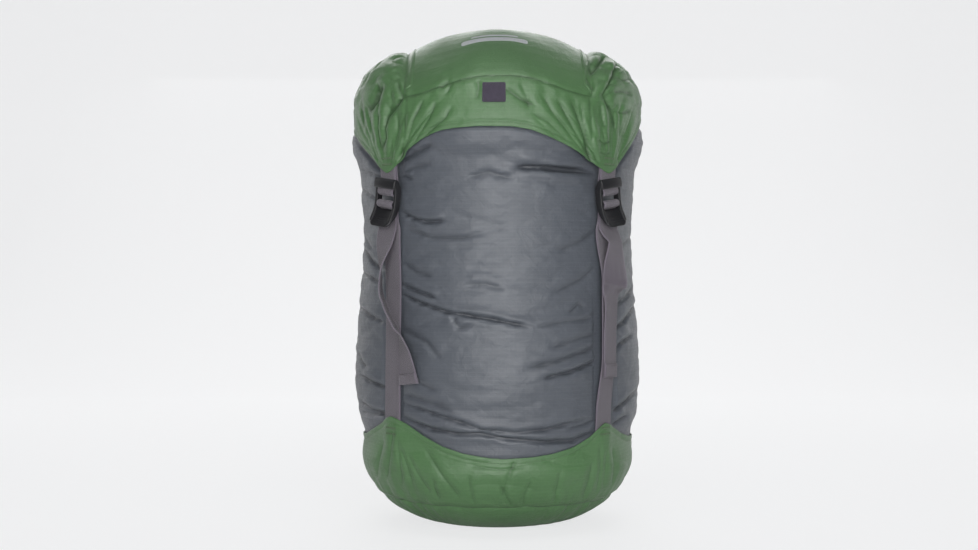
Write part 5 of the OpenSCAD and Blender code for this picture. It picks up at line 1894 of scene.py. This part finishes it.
def build_cord():
    lo, hi = box_mm("drawcord")
    knot_lo, knot_hi = box_mm("cord_end_knot")
    z = (lo[2] + hi[2]) / 2
    x_ret = (knot_lo[0] + knot_hi[0]) / 2
    y_knot = knot_lo[1]
    r = 1.25
    lift = r + 0.12
    y_turn = lo[1] + r + x_ret / 2
    for k, sgn in (("upper", 1), ("lower", -1)):
        straight = [(0, y, z + sgn * lift) for y in np.linspace(-13, y_turn, 30)]
        bend = [(x_ret / 2 - x_ret / 2 * math.cos(t), y_turn - x_ret / 2 * math.sin(t), z + sgn * lift) for t in np.linspace(0, math.pi, 24)[1:]]
        back = [(x_ret + 0.5 * math.sin((y - y_turn) / 6.0) * sgn, y, z + sgn * (lift - 0.0)) for y in np.linspace(y_turn, y_knot + 1.0, 20)[1:]]
        o = cord_curve("drawcord_%s_end" % k, straight + bend + back, r, "cord", "mouth", ("drawcord",) if sgn > 0 else ())
    # overhand knot that joins both ends
    t = np.linspace(0, 2 * math.pi, 90)
    c = np.array([x_ret, (knot_lo[1] + knot_hi[1]) / 2, z])
    tre = np.stack([(np.sin(t) + 1.5 * np.sin(2 * t)) * 1.05, (np.cos(t) - 1.5 * np.cos(2 * t)) * 1.05, -np.sin(3 * t) * 1.15], 1)
    cord_curve("cord_end_knot_turns", c + tre, r * 1.0, "cord", "mouth", ("cord_end_knot",))
    for sgn in (1, -1):
        end = [c + np.array([sgn * 0.9, 2.0, sgn * 0.6]), c + np.array([sgn * 1.6, 6.0, sgn * 0.9]), c + np.array([sgn * 2.6, 10.5, sgn * 0.6])]
        cord_curve("cord_tip_%s" % ("a" if sgn > 0 else "b"), smooth_path(end, 8), r, "cord", "mouth")


build_cord()
keep_node("mouth_eyelet", "eyelet_metal", 0.3)
keep_node("cord_lock_barrel", "buckle_plastic", 0.5)
keep_node("cord_lock_plunger", "plunger_plastic", 0.5)


def press_spring():
    """The return spring: the CAD coil, copied into an object of its own."""
    mesh = frame["nodes"]["cord_lock_spring"].data.copy()
    mesh.name = "cord_lock_spring_coil"
    mesh.materials.clear()
    o = bpy.data.objects.new("cord_lock_spring_coil", mesh)
    bpy.context.scene.collection.objects.link(o)
    give(o, "spring_steel")
    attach(o, "cord_lock")
    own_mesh(o)
    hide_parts("cord_lock_spring")


press_spring()
keep_node("base_seam_binding", "binding")


# ---------------------------------------------------------------- room
def room():
    mesh = bpy.data.meshes.new("floor")
    bm = bmesh.new()
    prof = [(-2.2, 0.0), (1.1, 0.0)] + [(1.1 + 0.5 * math.sin(t), 0.5 - 0.5 * math.cos(t)) for t in np.linspace(0, math.pi / 2, 16)[1:]] + [(1.6, 3.0)]
    prev = None
    for y, z in prof:
        row = [bm.verts.new((x, y, z)) for x in (-4, 4)]
        if prev:
            bm.faces.new((prev[0], prev[1], row[1], row[0]))
        prev = row
    bm.to_mesh(mesh)
    bm.free()
    for p in mesh.polygons:
        p.use_smooth = True
    o = bpy.data.objects.new("floor", mesh)
    bpy.context.scene.collection.objects.link(o)
    m, nt, bsdf = new_material("pale_floor")
    bsdf.inputs["Base Color"].default_value = (0.90, 0.90, 0.905, 1)
    bsdf.inputs["Roughness"].default_value = 0.75
    # the sweep is lit from behind as well, and camera rays see it mostly as an even pale glow, so it stays pale while
    # the front light stays soft
    g = Graph(nt)
    glow = g.node("ShaderNodeEmission", Color=(0.96, 0.965, 0.975, 1), Strength=0.98)
    seen = g.node("ShaderNodeLightPath").outputs["Is Camera Ray"]
    both = g.node("ShaderNodeMixShader", i0=g.math("MULTIPLY", seen, 0.78), i1=bsdf.outputs[0], i2=glow.outputs[0])
    nt.links.new(both.outputs[0], nt.nodes["Material Output"].inputs[0])
    mesh.materials.append(m)
    world = bpy.data.worlds.new("studio")
    bpy.context.scene.world = world
    world.use_nodes = True
    background = world.node_tree.nodes["Background"]
    background.inputs[0].default_value = (0.95, 0.97, 1.0, 1)
    wg = Graph(world.node_tree)
    eye = wg.node("ShaderNodeLightPath").outputs["Is Camera Ray"]
    world.node_tree.links.new(wg.ramp(eye, 0.0, 1.0, 0.12, 0.88), background.inputs[1])

    def area(name, at, target, size, power, colour=(1, 1, 1)):
        li = bpy.data.lights.new(name, "AREA")
        li.shape = "RECTANGLE"
        li.size, li.size_y = size
        li.energy = power
        li.color = colour
        ob = bpy.data.objects.new(name, li)
        bpy.context.scene.collection.objects.link(ob)
        ob.location = at
        ob.rotation_euler = (Vector(target) - Vector(at)).to_track_quat("-Z", "Y").to_euler()

    area("key", (0.05, -1.75, 0.44), (0, 0, 0.20), (1.7, 1.1), 20.5)
    area("top", (0.0, -0.55, 1.45), (0, 0, 0.30), (1.1, 0.6), 4.5)
    area("low", (0.0, -1.45, 0.13), (0, 0, 0.06), (1.2, 0.2), 2.5)
    area("rim_left", (-1.35, 0.95, 0.55), (0, 0, 0.25), (0.6, 1.0), 2.6)
    area("rim_right", (1.35, 0.95, 0.55), (0, 0, 0.25), (0.6, 1.0), 2.6)
    area("back", (0.0, 1.5, 0.85), (0, 0, 0.22), (1.4, 0.9), 13)


room()
cam_data = bpy.data.cameras.new("camera")
cam_data.lens = 51.1
cam_data.sensor_width = 36.0
cam_data.shift_y = -8.0 / 978.0
cam = bpy.data.objects.new("camera", cam_data)
bpy.context.scene.collection.objects.link(cam)
cam.location = (-0.0076, -1.25, 0.225)
cam.rotation_euler = (math.radians(90), math.radians(0.0), 0)
cam_data.clip_start = 0.05
bpy.context.scene.camera = cam
bpy.context.scene.view_settings.view_transform = "Standard"
